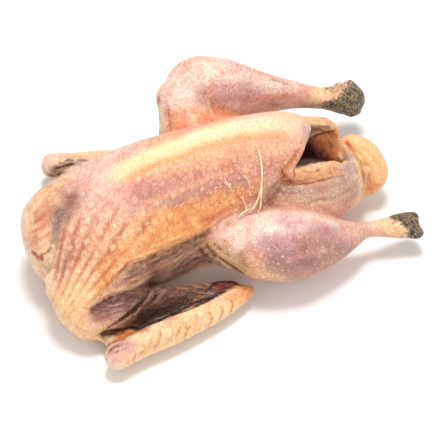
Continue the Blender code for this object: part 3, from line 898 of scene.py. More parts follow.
# Marks on the side that the camera sees, as (colour, half width in pixels, strength, lift in mm, and runs of
# picture places, each across and down in turn). Where there is no lift, the mark is a soft stain.
NECK_MARKS = (
    (WING_YELLOW, 8.0, 0.6, None, (72, 172, 55, 182, 40, 196, 30, 212)),
    (NECK_CREAM, 9.0, 0.6, None, (44, 202, 38, 218, 34, 236), (44, 262, 48, 276, 52, 290)),
    (BRUISE_BROWN, 8.5, 0.62, None, (84, 188, 74, 196, 64, 208, 50, 217)),
    (BRUISE_BROWN, 6.0, 0.35, None, (62, 192, 68, 200, 72, 210), (36, 216, 46, 212, 54, 208)),
    (BRUISE_BROWN, 6.0, 0.3, None, (68, 220, 74, 210, 86, 196)),
    (BRUISE_GREEN, 5.5, 0.75, None, (60, 214, 57, 226, 55, 240)),
    (BRUISE_BROWN, 4.0, 0.5, None, (70, 198, 66, 206, 62, 214), (54, 240, 52, 252, 51, 262)),
    (BREAST_MAUVE, 7.0, 0.5, None, (66, 238, 63, 258, 58, 280), (78, 232, 74, 250, 68, 268)),
    # Painted light in the neck's shaded notch and along its left edge.
    (CREAM_PAINTED_LIGHT, 6.0, 0.8, None, (50, 246, 49, 260, 46, 274), (36, 262, 42, 268, 46, 282)),
    (CREAM_PAINTED_LIGHT, 4.0, 0.6, None, (26, 214, 26, 232, 31, 248)),
    (NECK_RED, 2.6, 0.27, None, (50, 218, 40, 228, 30, 233), (48, 234, 38, 241, 29, 246),
        (52, 208, 42, 217, 31, 224), (54, 197, 44, 205, 34, 213), (44, 228, 36, 236, 29, 240)),
    (NECK_RED, 1.7, 0.6, -0.15, (50, 218, 40, 228, 30, 233), (48, 234, 38, 241, 29, 246),
        (52, 208, 42, 217, 31, 224)),
    (NECK_RED, 1.5, 0.35, -0.10, (54, 197, 44, 205, 34, 213), (62, 186, 51, 194, 41, 203),
        (44, 228, 36, 236, 29, 240)),
    (FOLD_RED, 1.8, 0.95, -0.4, (31, 251, 37, 257, 43, 254), (34, 257, 38, 260, 43, 257)),
    (BRUISE_BROWN, 1.2, 0.5, -0.3, (41, 256, 47, 252, 51, 246)),
    (BRUISE_BROWN, 1.2, 0.3, -0.2, (58, 234, 55, 250, 52, 266), (62, 238, 59, 255, 56, 275, 54, 287),
        (68, 240, 65, 258, 61, 280), (75, 238, 72, 256, 68, 272)),
    (NECK_CREAM, 1.2, 0.4, 0.25, (60, 240, 57, 254, 54, 272), (65, 242, 62, 262, 58, 284)),
)
BREAST_MARKS = (
    (BREAST_PALE, 9.0, 0.75, None, (70, 168, 96, 162, 120, 152, 142, 144), (88, 176, 100, 186, 96, 200)),
    (KEEL_EDGE, 4.0, 0.7, None, (150, 145, 180, 129, 212, 118, 244, 111)),
    (KEEL_FAT, 4.6, 0.9, None, (118, 174, 126, 164, 146, 156, 180, 143, 220, 129, 236, 126)),
    (BREAST_PALE, 5.0, 0.7, None, (240, 124, 262, 121, 290, 121)),
    (KEEL_EDGE, 5.0, 0.9, None,
        (130, 180, 140, 172, 162, 162, 180, 158, 200, 149, 220, 144, 244, 139, 282, 135)),
    (BREAST_PINK, 8.0, 0.7, None, (84, 188, 104, 186, 124, 190), (100, 204, 120, 206, 138, 204)),
    (BREAST_MAUVE, 5.0, 0.7, None, (134, 186, 152, 180, 176, 170), (150, 196, 180, 186, 222, 168)),
    (BREAST_GREY, 4.5, 0.6, None, (132, 208, 158, 198, 190, 188, 230, 172), (140, 196, 160, 188, 184, 178)),
    (BREAST_ORANGE, 3.5, 0.7, None, (146, 204, 176, 192, 208, 178, 232, 168),
        (160, 176, 190, 164, 224, 152, 262, 144)),
    (FLANK_ORANGE, 4.5, 0.6, None, (150, 222, 180, 210, 222, 196), (180, 228, 206, 214, 236, 202),
        (238, 196, 250, 192, 258, 180)),
    (FOLD_RED, 3.5, 0.5, None, (206, 224, 216, 216, 230, 208, 244, 205), (236, 196, 246, 200, 256, 196)),
    (BREAST_ORANGE, 6.0, 0.6, None, (240, 152, 262, 147, 284, 143, 296, 138),
        (276, 116, 290, 117, 304, 120)),
    (BREAST_MAUVE, 5.0, 0.5, None, (254, 172, 268, 166, 280, 160), (232, 164, 244, 160, 256, 154)),
    (RIM_ORANGE, 1.3, 0.8, 0.25, (304, 146, 299, 157, 292, 166, 286, 175)),
    (RIM_ORANGE, 1.0, 0.6, -0.2, (300, 146, 294, 156, 287, 165, 281, 174), (290, 150, 286, 158, 280, 166)),
    (RIM_PINK, 1.8, 0.7, 0.2, (306, 124, 308, 134, 304, 146)),
    (LOW_BROWN, 1.0, 0.6, -0.3, (285, 176, 278, 182, 272, 188)),
    (FLANK_VALLEY, 1.0, 0.35, -0.2, (190, 214, 210, 206, 232, 200), (170, 224, 196, 214, 214, 208),
        (200, 222, 216, 214, 230, 208)),
)
FLANK_MARKS = (
    (FLANK_ORANGE, 6.0, 0.65, None, (100, 268, 112, 258, 128, 248, 150, 236),
        (118, 262, 136, 250, 158, 240, 180, 230)),
    (WING_YELLOW, 8.0, 0.5, None, (66, 292, 80, 298, 92, 292), (62, 308, 72, 318, 84, 326)),
    (LOW_PURPLE, 5.0, 0.75, None, (116, 284, 132, 274, 150, 264, 170, 254)),
    (LOW_PURPLE, 6.0, 0.7, None, (150, 276, 172, 264, 190, 252)),
    # Painted shade in the crevice under the flank.
    (RUMP_SHADE, 5.0, 0.8, None, (150, 283, 164, 276, 182, 268)),
    # Painted light in the shaded crevice under the flank.
    (LOW_FLANK_PAINTED_LIGHT, 4.0, 0.5, None, (150, 281, 158, 282, 168, 276)),
    (LOW_OLIVE, 3.0, 0.7, None, (130, 270, 142, 264, 164, 256, 186, 247, 205, 237)),
    (WING_DARK, 5.0, 0.5, None, (128, 272, 138, 270, 150, 262), (130, 284, 142, 280)),
    (FLANK_ORANGE, 5.0, 0.9, None, (140, 254, 158, 246, 172, 241, 188, 233, 204, 224),
        (100, 286, 108, 278, 118, 268)),
    (LOW_OLIVE, 1.8, 0.6, -0.3, (110, 281, 118, 273, 126, 266, 130, 262), (130, 265, 146, 260, 163, 253),
        (166, 252, 184, 244, 203, 235)),
    # Painted shade in the low flank's fine grooves.
    (WING_CREASE_SHADE, 1.2, 0.35, -0.4, (190, 243, 204, 233, 214, 226), (150, 266, 166, 258, 184, 250),
        (198, 246, 205, 256, 212, 261), (176, 268, 188, 260, 202, 258)),
    # Painted highlight along the low flank's fine ridges.
    (LOW_FLANK_PAINTED_LIGHT, 1.0, 0.65, 0.35, (178, 264, 189, 254, 201, 243), (170, 266, 182, 255, 194, 247),
        (138, 270, 150, 262, 160, 257), (196, 252, 203, 258, 208, 262)),
    (FLANK_ORANGE, 1.8, 0.8, 0.5, (112, 276, 118, 270, 126, 262), (132, 259, 146, 254, 160, 248),
        (150, 248, 168, 241, 184, 234)),
    (FLANK_BROWN, 2.4, 0.75, 0.4, (94, 302, 106, 294, 122, 288, 138, 283, 152, 275)),
    (LOW_BROWN, 1.3, 0.7, -0.4, (96, 306, 108, 299, 126, 293, 142, 287, 154, 281)),
)
NEAR_WING_MARKS = (
    (WING_SHADOW, 6.0, 0.75, None, (112, 303, 124, 298, 138, 295), (130, 304, 138, 300, 144, 292)),
    (WING_DARK, 7.0, 0.95, None, (148, 286, 144, 298, 132, 310), (150, 298, 160, 296, 172, 294)),
    (WING_DARK, 6.0, 0.95, None, (154, 288, 148, 300, 136, 313, 118, 323),
        (160, 290, 180, 291, 204, 292, 220, 292)),
    (WING_DARK, 5.0, 0.9, None, (140, 318, 155, 306, 172, 299, 190, 297), (196, 302, 210, 298, 224, 292)),
    (LOW_OLIVE, 4.0, 0.8, None, (104, 332, 120, 327, 140, 322, 158, 314), (158, 287, 180, 285, 208, 283)),
    (LOW_OLIVE, 3.0, 0.6, None, (106, 333, 124, 332, 146, 330), (190, 297, 200, 296, 208, 294)),
    # Painted shade in the hollow.
    (WING_CREASE_SHADE, 6.0, 0.9, None, (142, 320, 155, 311, 170, 304, 186, 299)),
    # Painted shade in the hollow between flank and wing.
    (WING_HOLLOW_SHADE, 3.0, 0.6, None, (150, 308, 164, 301, 182, 297)),
    (WING_WINDOW, 7.0, 0.8, None, (100, 311, 114, 307, 130, 304)),
    (WING_SHADOW, 4.0, 0.65, None, (96, 309, 103, 302, 116, 298, 132, 296)),
    (WING_PINK, 5.0, 0.6, None, (96, 326, 108, 324, 120, 320)),
    (WING_PINK, 5.0, 0.4, None, (84, 312, 87, 322, 96, 328)),
    # Painted highlight along the window's fine ridges.
    (WINDOW_HIGHLIGHT, 0.9, 0.45, 0.2, (98, 312, 110, 307, 124, 303), (98, 317, 112, 312, 128, 308),
        (102, 321, 116, 316, 130, 313)),
    # Painted shade in the web's grooves.
    (WING_CREASE_SHADE, 1.4, 0.85, -0.6, (150, 290, 143, 302, 133, 312, 120, 321, 104, 330),
        (158, 292, 150, 304, 140, 314), (118, 331, 134, 326, 148, 320), (98, 335, 110, 331, 126, 329)),
    # Painted highlight along the web's fine ridges.
    (WING_OLIVE_HIGHLIGHT, 1.0, 0.65, 0.4, (146, 288, 139, 299, 131, 308, 122, 314),
        (154, 290, 146, 301, 137, 312, 126, 320, 112, 326), (162, 294, 152, 303, 142, 311),
        (112, 330, 126, 326, 140, 322), (186, 293, 190, 299, 186, 304)),
    (WING_SHADOW, 1.4, 0.7, 0.3, (160, 305, 172, 300, 184, 297), (156, 289, 176, 289, 198, 288)),
    # Painted shade in the grooves along the wing's root.
    (WING_CREASE_SHADE, 1.2, 0.85, -0.5, (206, 292, 214, 284, 224, 280, 234, 282),
        (190, 304, 206, 298, 220, 292, 232, 286)),
    (STUMP_RED, 3.0, 0.9, None, (216, 288, 225, 285, 234, 284)),
    (WING_CREAM, 2.6, 0.95, None,
        (152, 334, 157, 326, 164, 319, 174, 315, 188, 313, 202, 307, 216, 300, 227, 294, 238, 289)),
    # Painted shade in the groove under the forewing's edge.
    (WING_CREASE_SHADE, 1.2, 0.9, -0.5, (157, 320, 160, 317, 170, 312, 186, 310, 200, 304, 214, 297, 226, 291)),
    (WING_DARK, 1.1, 0.75, -0.5, (97, 336, 112, 334, 126, 333), (106, 350, 110, 344, 120, 340, 134, 338)),
    (WING_ORANGE, 2.2, 0.85, None, (118, 335, 130, 332, 144, 330)),
    (WING_YELLOW, 7.0, 0.5, None, (140, 352, 165, 336, 195, 322, 222, 308)),
    (WING_ORANGE, 4.0, 0.25, None, (176, 336, 184, 328, 190, 322)),
    (WING_TIP, 6.0, 0.6, None, (232, 300, 242, 292, 250, 288)),
    # Painted shade in the forewing's fine wrinkles.
    (WING_WRINKLE_SHADE, 1.2, 0.7, -0.22, (152, 337, 151, 345, 144, 354), (160, 329, 160, 340, 153, 350),
        (170, 321, 173, 333, 166, 346), (178, 318, 180, 328, 174, 340), (181, 317, 187, 329, 184, 341),
        (196, 314, 198, 323, 192, 334), (205, 309, 212, 317, 208, 328), (219, 303, 223, 311, 219, 321),
        (228, 298, 233, 305, 230, 313), (132, 348, 136, 354, 132, 362), (143, 341, 144, 350, 138, 358)),
    (WING_ORANGE, 1.4, 0.6, 0.0, (190, 326, 186, 333, 180, 340), (150, 342, 146, 350, 138, 354)),
    (WING_PINK, 7.0, 0.7, None, (112, 358, 122, 352, 134, 346)),
    (STUMP_RED, 3.5, 0.4, None, (112, 350, 118, 345, 128, 344)),
    (STUMP_RED, 1.2, 0.6, -0.3, (108, 354, 112, 348, 122, 344), (114, 354, 120, 350, 130, 348)),
    (WRIST_WHITE, 4.0, 0.7, None, (106, 362, 112, 366, 122, 366)),
)
FAR_WING_MARKS = (
    (WING_DARK, 3.0, 0.6, None, (52, 170, 64, 166, 80, 163)),
    (WRIST_WHITE, 5.0, 0.5, None, (44, 160, 54, 156, 64, 154)),
    # Painted shade in the far wing's grooves.
    (WING_CREASE_SHADE, 1.1, 0.8, -0.5, (46, 173, 52, 176, 58, 175, 66, 171), (60, 163, 70, 160, 82, 160, 90, 162),
        (56, 169, 68, 165, 80, 165)),
    # Painted highlight along the far wing's fine ridges.
    (WING_OLIVE_HIGHLIGHT, 0.9, 0.6, 0.3, (58, 166, 68, 162, 80, 162), (54, 172, 64, 168, 74, 167)),
    (RIM_ORANGE, 1.6, 0.8, 0.0, (42, 166, 44, 174, 52, 179), (66, 158, 80, 157, 92, 160)),
)
LEG_MARKS = (
    (LEG_PALE, 9.0, 0.7, None, (222, 232, 246, 222, 272, 222), (236, 246, 256, 238, 268, 238)),
    (LEG_LILAC, 6.0, 0.6, None, (282, 220, 294, 228, 292, 236), (264, 246, 280, 250, 292, 256)),
    (LEG_SHADE, 6.0, 0.35, None, (274, 244, 282, 250, 290, 254)),
    (LEG_SHADE, 7.0, 0.55, None, (274, 258, 290, 266, 310, 262), (300, 246, 318, 244, 340, 246)),
    (LEG_LILAC, 6.0, 0.45, None, (300, 222, 318, 226, 338, 232), (264, 240, 276, 242, 288, 244)),
    (LEG_BROWN, 8.0, 0.45, None, (300, 244, 318, 232, 334, 234)),
    (LEG_BROWN, 8.0, 0.4, None, (264, 238, 276, 250, 280, 268)),
    # Painted shade along the near shank's lower side.
    (LEG_MAUVE, 5.0, 0.6, None, (340, 240, 362, 239, 386, 238)),
    (LEG_ORANGE, 5.0, 0.4, None, (250, 250, 258, 260, 264, 270)),
    (HOCK_CREAM, 6.0, 0.7, None, (222, 258, 240, 268, 262, 279), (250, 262, 262, 272, 280, 280)),
    (KNEE_OLIVE, 4.0, 0.4, None, (208, 242, 214, 252, 222, 260)),
    (KNEE_LIGHT, 5.0, 0.7, None, (226, 258, 238, 264, 252, 274)),
    # Painted shade in the knee's creases.
    (KNEE_CREASE_SHADE, 1.2, 0.65, -0.4, (205, 240, 209, 250, 216, 258), (208, 246, 217, 256, 230, 265, 244, 274),
        (214, 244, 222, 251, 232, 258)),
    # Painted highlight along the knee's ridges.
    (KNEE_LIGHT, 1.1, 0.7, 0.4, (210, 241, 219, 251, 232, 260, 246, 269), (216, 257, 228, 267, 246, 277),
        (214, 234, 226, 242, 238, 248)),
    (FOLD_RED, 1.3, 0.45, -0.2, (206, 236, 216, 224, 232, 214, 250, 210, 272, 209)),
    (LEG_SHADE, 1.4, 0.5, -0.2, (266, 262, 270, 270, 280, 273), (336, 262, 348, 252, 356, 246)),
    (HOCK_CREAM, 6.0, 0.6, None, (372, 226, 384, 226, 394, 226)),
    (LEG_PINK, 5.0, 0.7, None, (352, 228, 364, 227, 372, 228)),
    (WING_YELLOW, 4.0, 0.7, None, (394, 230, 402, 234, 406, 238)),
    (LEG_PALE, 10.0, 0.7, None, (176, 84, 186, 74, 206, 68, 230, 68), (178, 98, 186, 94, 196, 88)),
    (LEG_MAUVE, 5.0, 0.5, None, (204, 92, 222, 86, 244, 86), (250, 92, 266, 88, 286, 88)),
    (LEG_BROWN, 5.0, 0.4, None, (200, 106, 224, 102, 246, 100)),
    (LEG_ORANGE, 6.0, 0.5, None, (176, 136, 186, 128, 198, 119, 216, 112)),
    (LEG_STRIP, 4.0, 0.5, None, (178, 110, 190, 106, 204, 108)),
    (LEG_RED, 3.5, 0.5, None, (252, 106, 264, 101, 280, 97, 298, 96), (182, 132, 196, 126, 210, 120)),
    # Painted light: paler stains on the far thigh's inner side, which the breast shades.
    (LEG_ORANGE, 5.0, 0.35, None, (228, 108, 250, 108, 272, 107)),
    (LEG_PALE, 4.5, 0.6, None, (228, 106, 252, 106, 266, 104)),
    (LEG_PALE, 4.0, 0.6, None, (258, 84, 276, 84, 296, 90)),
    (HOCK_CREAM, 5.0, 0.7, None, (322, 90, 332, 88, 342, 88), (312, 100, 322, 100, 330, 98)),
    (LEG_BROWN, 4.0, 0.85, None, (304, 107, 315, 106, 326, 106)),
    (LEG_SHADE, 1.2, 0.6, -0.2, (268, 79, 280, 81, 292, 86), (300, 108, 312, 107, 322, 105),
        (254, 106, 268, 104, 284, 106)),
    (LEG_STRIP, 2.4, 0.85, 0.4, (163, 96, 162, 112, 163, 128, 161, 138)),
    (RIM_ORANGE, 1.0, 0.7, -0.3, (168, 106, 169, 118, 171, 132), (160, 92, 158, 108, 158, 126)),
    (LEG_STRIP, 1.2, 0.6, 0.3, (208, 92, 209, 104, 213, 116), (188, 114, 196, 116, 206, 114),
        (214, 108, 222, 104, 232, 104)),
)
VENT_MARKS = (
    (VENT_LILAC, 4.0, 0.7, None, (307, 134, 312, 131, 320, 130)),
    (VENT_LILAC, 3.0, 0.8, None, (304, 128, 308, 133, 307, 139), (298, 163, 308, 162, 320, 164)),
    (LEG_PALE, 1.2, 0.7, 0.2, (309, 137, 316, 133, 326, 131), (304, 124, 310, 128, 313, 134)),
    (CAVITY_RED, 6.0, 0.7, None, (322, 140, 328, 148, 334, 155), (330, 136, 340, 146, 344, 154)),
    # Painted light on the cavity's shaded orange wall.
    (CAVITY_PAINTED_LIGHT, 8.0, 1.0, None, (325, 132, 333, 140, 341, 151)),
    (CAVITY_RED, 1.8, 0.4, -0.3, (312, 146, 317, 151, 319, 158), (319, 141, 323, 149, 325, 157),
        (328, 140, 331, 148, 331, 156)),
    (FLAP_SHADOW, 1.0, 0.8, -0.3, (308, 140, 318, 135, 328, 132, 338, 131)),
    # Painted highlight on the far flap's lip.
    (ROLL_HIGHLIGHT, 3.4, 0.8, None, (312, 123, 326, 121, 337, 127)),
    (FLAP_SHADOW, 1.1, 0.45, -0.3, (312, 119, 318, 121, 324, 119, 332, 123, 337, 129),
        (309, 127, 316, 128, 324, 127, 331, 130), (318, 118, 319, 122, 317, 126),
        (328, 119, 327, 124, 330, 128)),
    # Painted highlight along the lip's ridges.
    (ROLL_HIGHLIGHT, 1.8, 0.6, 0.5, (312, 123, 320, 124, 328, 125), (318, 117, 326, 118, 334, 123)),
    (ROLL_SHADE, 1.1, 0.6, -0.4, (292, 167, 295, 173, 293, 180), (281, 168, 284, 175, 290, 181),
        (326, 163, 333, 165, 338, 170), (322, 164, 329, 168, 331, 174), (333, 168, 340, 170, 346, 169),
        (300, 171, 312, 172, 324, 169), (284, 181, 300, 184, 320, 181, 334, 177, 346, 176)),
    # Painted highlight along the near roll.
    (ROLL_HIGHLIGHT, 4.0, 0.5, None, (290, 170, 304, 169, 324, 166)),
    (NECK_RED, 3.0, 0.7, None, (281, 172, 285, 178, 290, 180), (296, 152, 291, 161, 286, 168)),
    # Painted highlight along the roll's ridges.
    (ROLL_HIGHLIGHT, 1.6, 0.7, 0.35, (298, 171, 312, 167, 324, 163, 332, 164),
        (286, 170, 290, 176, 300, 179, 316, 176)),
    (VENT_FAT, 7.0, 0.8, None, (346, 150, 354, 158, 359, 172)),
    (VENT_LILAC, 3.4, 0.85, None, (345, 156, 350, 158, 352, 163), (340, 168, 347, 168, 352, 172)),
    (BRUISE_GREEN, 1.6, 0.6, None, (349, 153, 352, 158), (354, 166, 356, 172)),
    (VENT_YELLOW, 1.8, 0.9, 0.4, (339, 157, 342, 160, 346, 158), (354, 160, 358, 165, 362, 168),
        (355, 151, 359, 156, 362, 162)),
    (VENT_LILAC, 1.6, 0.7, -0.2, (346, 154, 350, 158, 348, 162), (353, 164, 356, 170, 354, 175)),
    (ROLL_SHADE, 1.2, 0.5, -0.5, (346, 143, 353, 151, 360, 163, 364, 177, 363, 190)),
    (FOLD_RED, 2.6, 0.9, 0.2, (345, 141, 348, 145, 353, 151)),
    (TAIL_CREAM, 8.0, 0.5, None, (366, 150, 376, 160, 382, 172)),
    (ROLL_SHADE, 1.4, 0.3, -0.2, (352, 142, 366, 150, 378, 164, 384, 178), (362, 190, 372, 188, 382, 182)),
)
RUMP_MARKS = (
    (RUMP_GREY, 8.0, 0.6, None, (272, 186, 296, 190, 324, 186, 346, 180)),
    (RUMP_BLUE, 5.0, 0.35, None, (288, 188, 304, 192, 318, 190), (344, 180, 352, 192, 348, 202)),
    (RUMP_RED, 6.0, 0.6, None, (330, 208, 344, 212, 354, 206)),
    (RUMP_GREY, 6.0, 0.7, None, (276, 203, 296, 202, 318, 204)),
    (LOW_BROWN, 2.5, 0.4, None, (262, 208, 264, 200, 268, 190)),
    # Painted light along the rump's lower edge.
    (RUMP_HIGHLIGHT, 6.0, 0.4, None, (270, 200, 300, 206, 336, 210)),
    # Painted shade in the rump's fine grooves.
    (RUMP_SHADE, 1.2, 0.32, -0.3, (300, 204, 318, 200, 336, 197, 350, 189), (272, 188, 286, 193, 302, 192),
        (320, 190, 334, 186, 346, 182)),
    # Painted highlight along the rump's fine ridges.
    (RUMP_HIGHLIGHT, 1.2, 0.6, 0.3, (268, 190, 264, 198, 267, 206, 275, 213),
        (305, 207, 320, 204, 338, 201, 352, 193), (275, 184, 290, 187, 308, 187)),
)


def lay_colours(skin, rows, both=False):
    """Lays rows of base colours over the skin."""
    for colour, strength, soft, ragged, *stroke in rows:
        skin.wash(colour, skin.mask(stroke, soft, ragged, both) * strength)


def lay_marks(skin, rows):
    """Lays rows of marks on the side that the camera sees."""
    for colour, width, strength, lift, *runs in rows:
        if lift is None:
            skin.stain(colour, width, strength, runs)
        else:
            skin.draw(colour, width, strength, lift, runs)


def inside_cavity(skin):
    """1 on the walls of the body cavity and of the open vent, which face its middle line."""
    near = skin.mask(CAVITY_LINE, 0.2)
    middle = np.array(sorted(knot[:3] for knot in CAVITY_LINE), float).T
    line = np.stack([np.interp(skin.start[:, 0], middle[0], heights) for heights in middle], axis=1)
    inward = np.sum(skin.facing() * (line - skin.start), axis=1)
    return near * bell(inward / 6.0)


def colour_vent(skin):
    """The cavity's walls in painted shade, the rolled vent edges and the tail. Gives where the cavity's walls
    are.
    """
    inside = inside_cavity(skin)
    # painted shade over all the cavity's walls
    skin.wash(CAVITY_SHADE, inside)
    for colour, soft, ragged, *stroke in CAVITY_COLOURS:
        skin.wash(colour, inside * skin.mask(stroke, soft, ragged))
    lay_colours(skin, VENT_COLOURS)
    return inside


def calm_fat(skin):
    """The fat over the keel and on the tail is smooth, and the forewing even, so they carry less mottling."""
    keel = skin.mask(KEEL_FAT_AREA, 1.2, 0.2)
    tail = skin.mask(TAIL_FAT_AREA, 0.6)
    forewing = skin.mask(NEAR_FOREWING, 0.4)
    skin.colour[:, 3] = 1.0 - 0.8 * np.maximum(keel, 0.5 * np.maximum(tail, forewing))


def shade_creases(skin):
    """Creases hold a little blood and get painted shade, and crests are stretched paler with a painted
    highlight.
    """
    facing = skin.facing()
    even = np.stack([skin.even_out(skin.places[:, k], 10) for k in range(3)], axis=1)
    height = skin.even_out(np.sum((skin.places - even) * facing, axis=1), 1)
    sunk = bell(-height / 0.22)[:, None]
    proud = bell(height / 0.30)
    # Painted shade in creases, tinted a little red for blood.
    skin.colour[:, :3] *= 1.0 - sunk * np.array((0.16, 0.30, 0.34))
    # Painted highlight on crests.
    skin.wash(CREAM_PAINTED_LIGHT, proud * 0.22 * bell(skin.colour[:, 1] / 0.45))


class Wire:
    """One socket of a material, on which plain sums add the Math nodes they need."""

    def __init__(self, recipe, socket):
        self.recipe = recipe
        self.socket = socket

    def sum(self, operation, *values):
        slots = dict(enumerate(values))
        return self.recipe.add("Math", {"operation": operation}, slots)

    def __add__(self, other):
        return self.sum("ADD", self, other)

    def __sub__(self, other):
        return self.sum("SUBTRACT", self, other)

    def __rsub__(self, other):
        return self.sum("SUBTRACT", other, self)

    def __mul__(self, other):
        return self.sum("MULTIPLY", self, other)

    __radd__ = __add__
    __rmul__ = __mul__


class Recipe:
    """A material while it is put together."""

    def __init__(self, name):
        self.material = bpy.data.materials.new(name)
        self.material.use_nodes = True
        self.tree = self.material.node_tree
        self.tree.nodes.clear()

    def add(self, kind, settings=None, slots=None, output=0):
        """Adds a node: its settings first, then its sockets' values or links. Gives one of its outputs."""
        node = self.tree.nodes.new("ShaderNode" + kind)
        for name, value in (settings or {}).items():
            setattr(node, name, value)
        for name, value in (slots or {}).items():
            if isinstance(value, Wire):
                self.tree.links.new(value.socket, node.inputs[name])
            else:
                node.inputs[name].default_value = value
        return Wire(self, node.outputs[output]) if node.outputs else node

    def other(self, wire, output):
        """Another output of the node that a wire comes from."""
        return Wire(self, wire.socket.node.outputs[output])

    def blend(self, mask, below, above, mode="MIX"):
        return self.add("Mix", {"data_type": "RGBA", "blend_type": mode}, {0: mask, 6: below, 7: above}, 2)

    def fade(self, value, low, high):
        """0 at low and 1 at high, with soft ends."""
        return self.add("MapRange", {"interpolation_type": "SMOOTHSTEP"}, {0: value, 1: low, 2: high})

    def noise(self, place, per_metre, detail=3.0, rough=0.55):
        slots = {"Vector": place, "Scale": per_metre, "Detail": detail, "Roughness": rough}
        return self.add("TexNoise", None, slots)

    def stretched(self, place, scale, turn=0.0):
        """Places that are scaled along each axis, so that a noise on them is drawn out."""
        return self.add("Mapping", None, {"Vector": place, "Rotation": (0.0, 0.0, turn), "Scale": scale})

    def red_of(self, colour):
        return self.add("SeparateColor", None, {"Color": colour}, "Red")

    def cells(self, place, per_unit, random=1.0, settings=None):
        return self.add("TexVoronoi", settings, {"Vector": place, "Scale": per_unit, "Randomness": random})

    def attribute(self, name, output="Vector"):
        return self.add("Attribute", {"attribute_name": name}, None, output)

    def shade(self, slots):
        surface = self.add("BsdfPrincipled", None, slots)
        self.add("OutputMaterial", None, {"Surface": surface})
        return self.material


def dotted_rows(mix):
    """Pale follicle dots in staggered rows, and the painted shade of the pit round each."""
    along = mix.add("SeparateXYZ", None, {"Vector": mix.attribute("rows")}, "X")
    across = mix.other(along, "Y")
    share = mix.other(along, "Z")
    row = mix.add("Math", {"operation": "FLOOR"}, {0: across})
    odd_row = mix.add("Math", {"operation": "PINGPONG"}, {0: row, 1: 1.0})
    staggered = mix.add("CombineXYZ", None, {"X": along + odd_row * 0.5, "Y": across})
    cells = mix.cells(staggered, 1.0, 0.4, {"voronoi_dimensions": "2D"})
    own = mix.red_of(mix.other(cells, "Color"))
    dot = (1 - mix.fade(cells, 0.03, 0.24)) * share * (own * 0.8 + 0.2)
    pit = mix.fade(cells, 0.17, 0.28) * (1 - mix.fade(cells, 0.31, 0.50)) * share
    return dot, pit


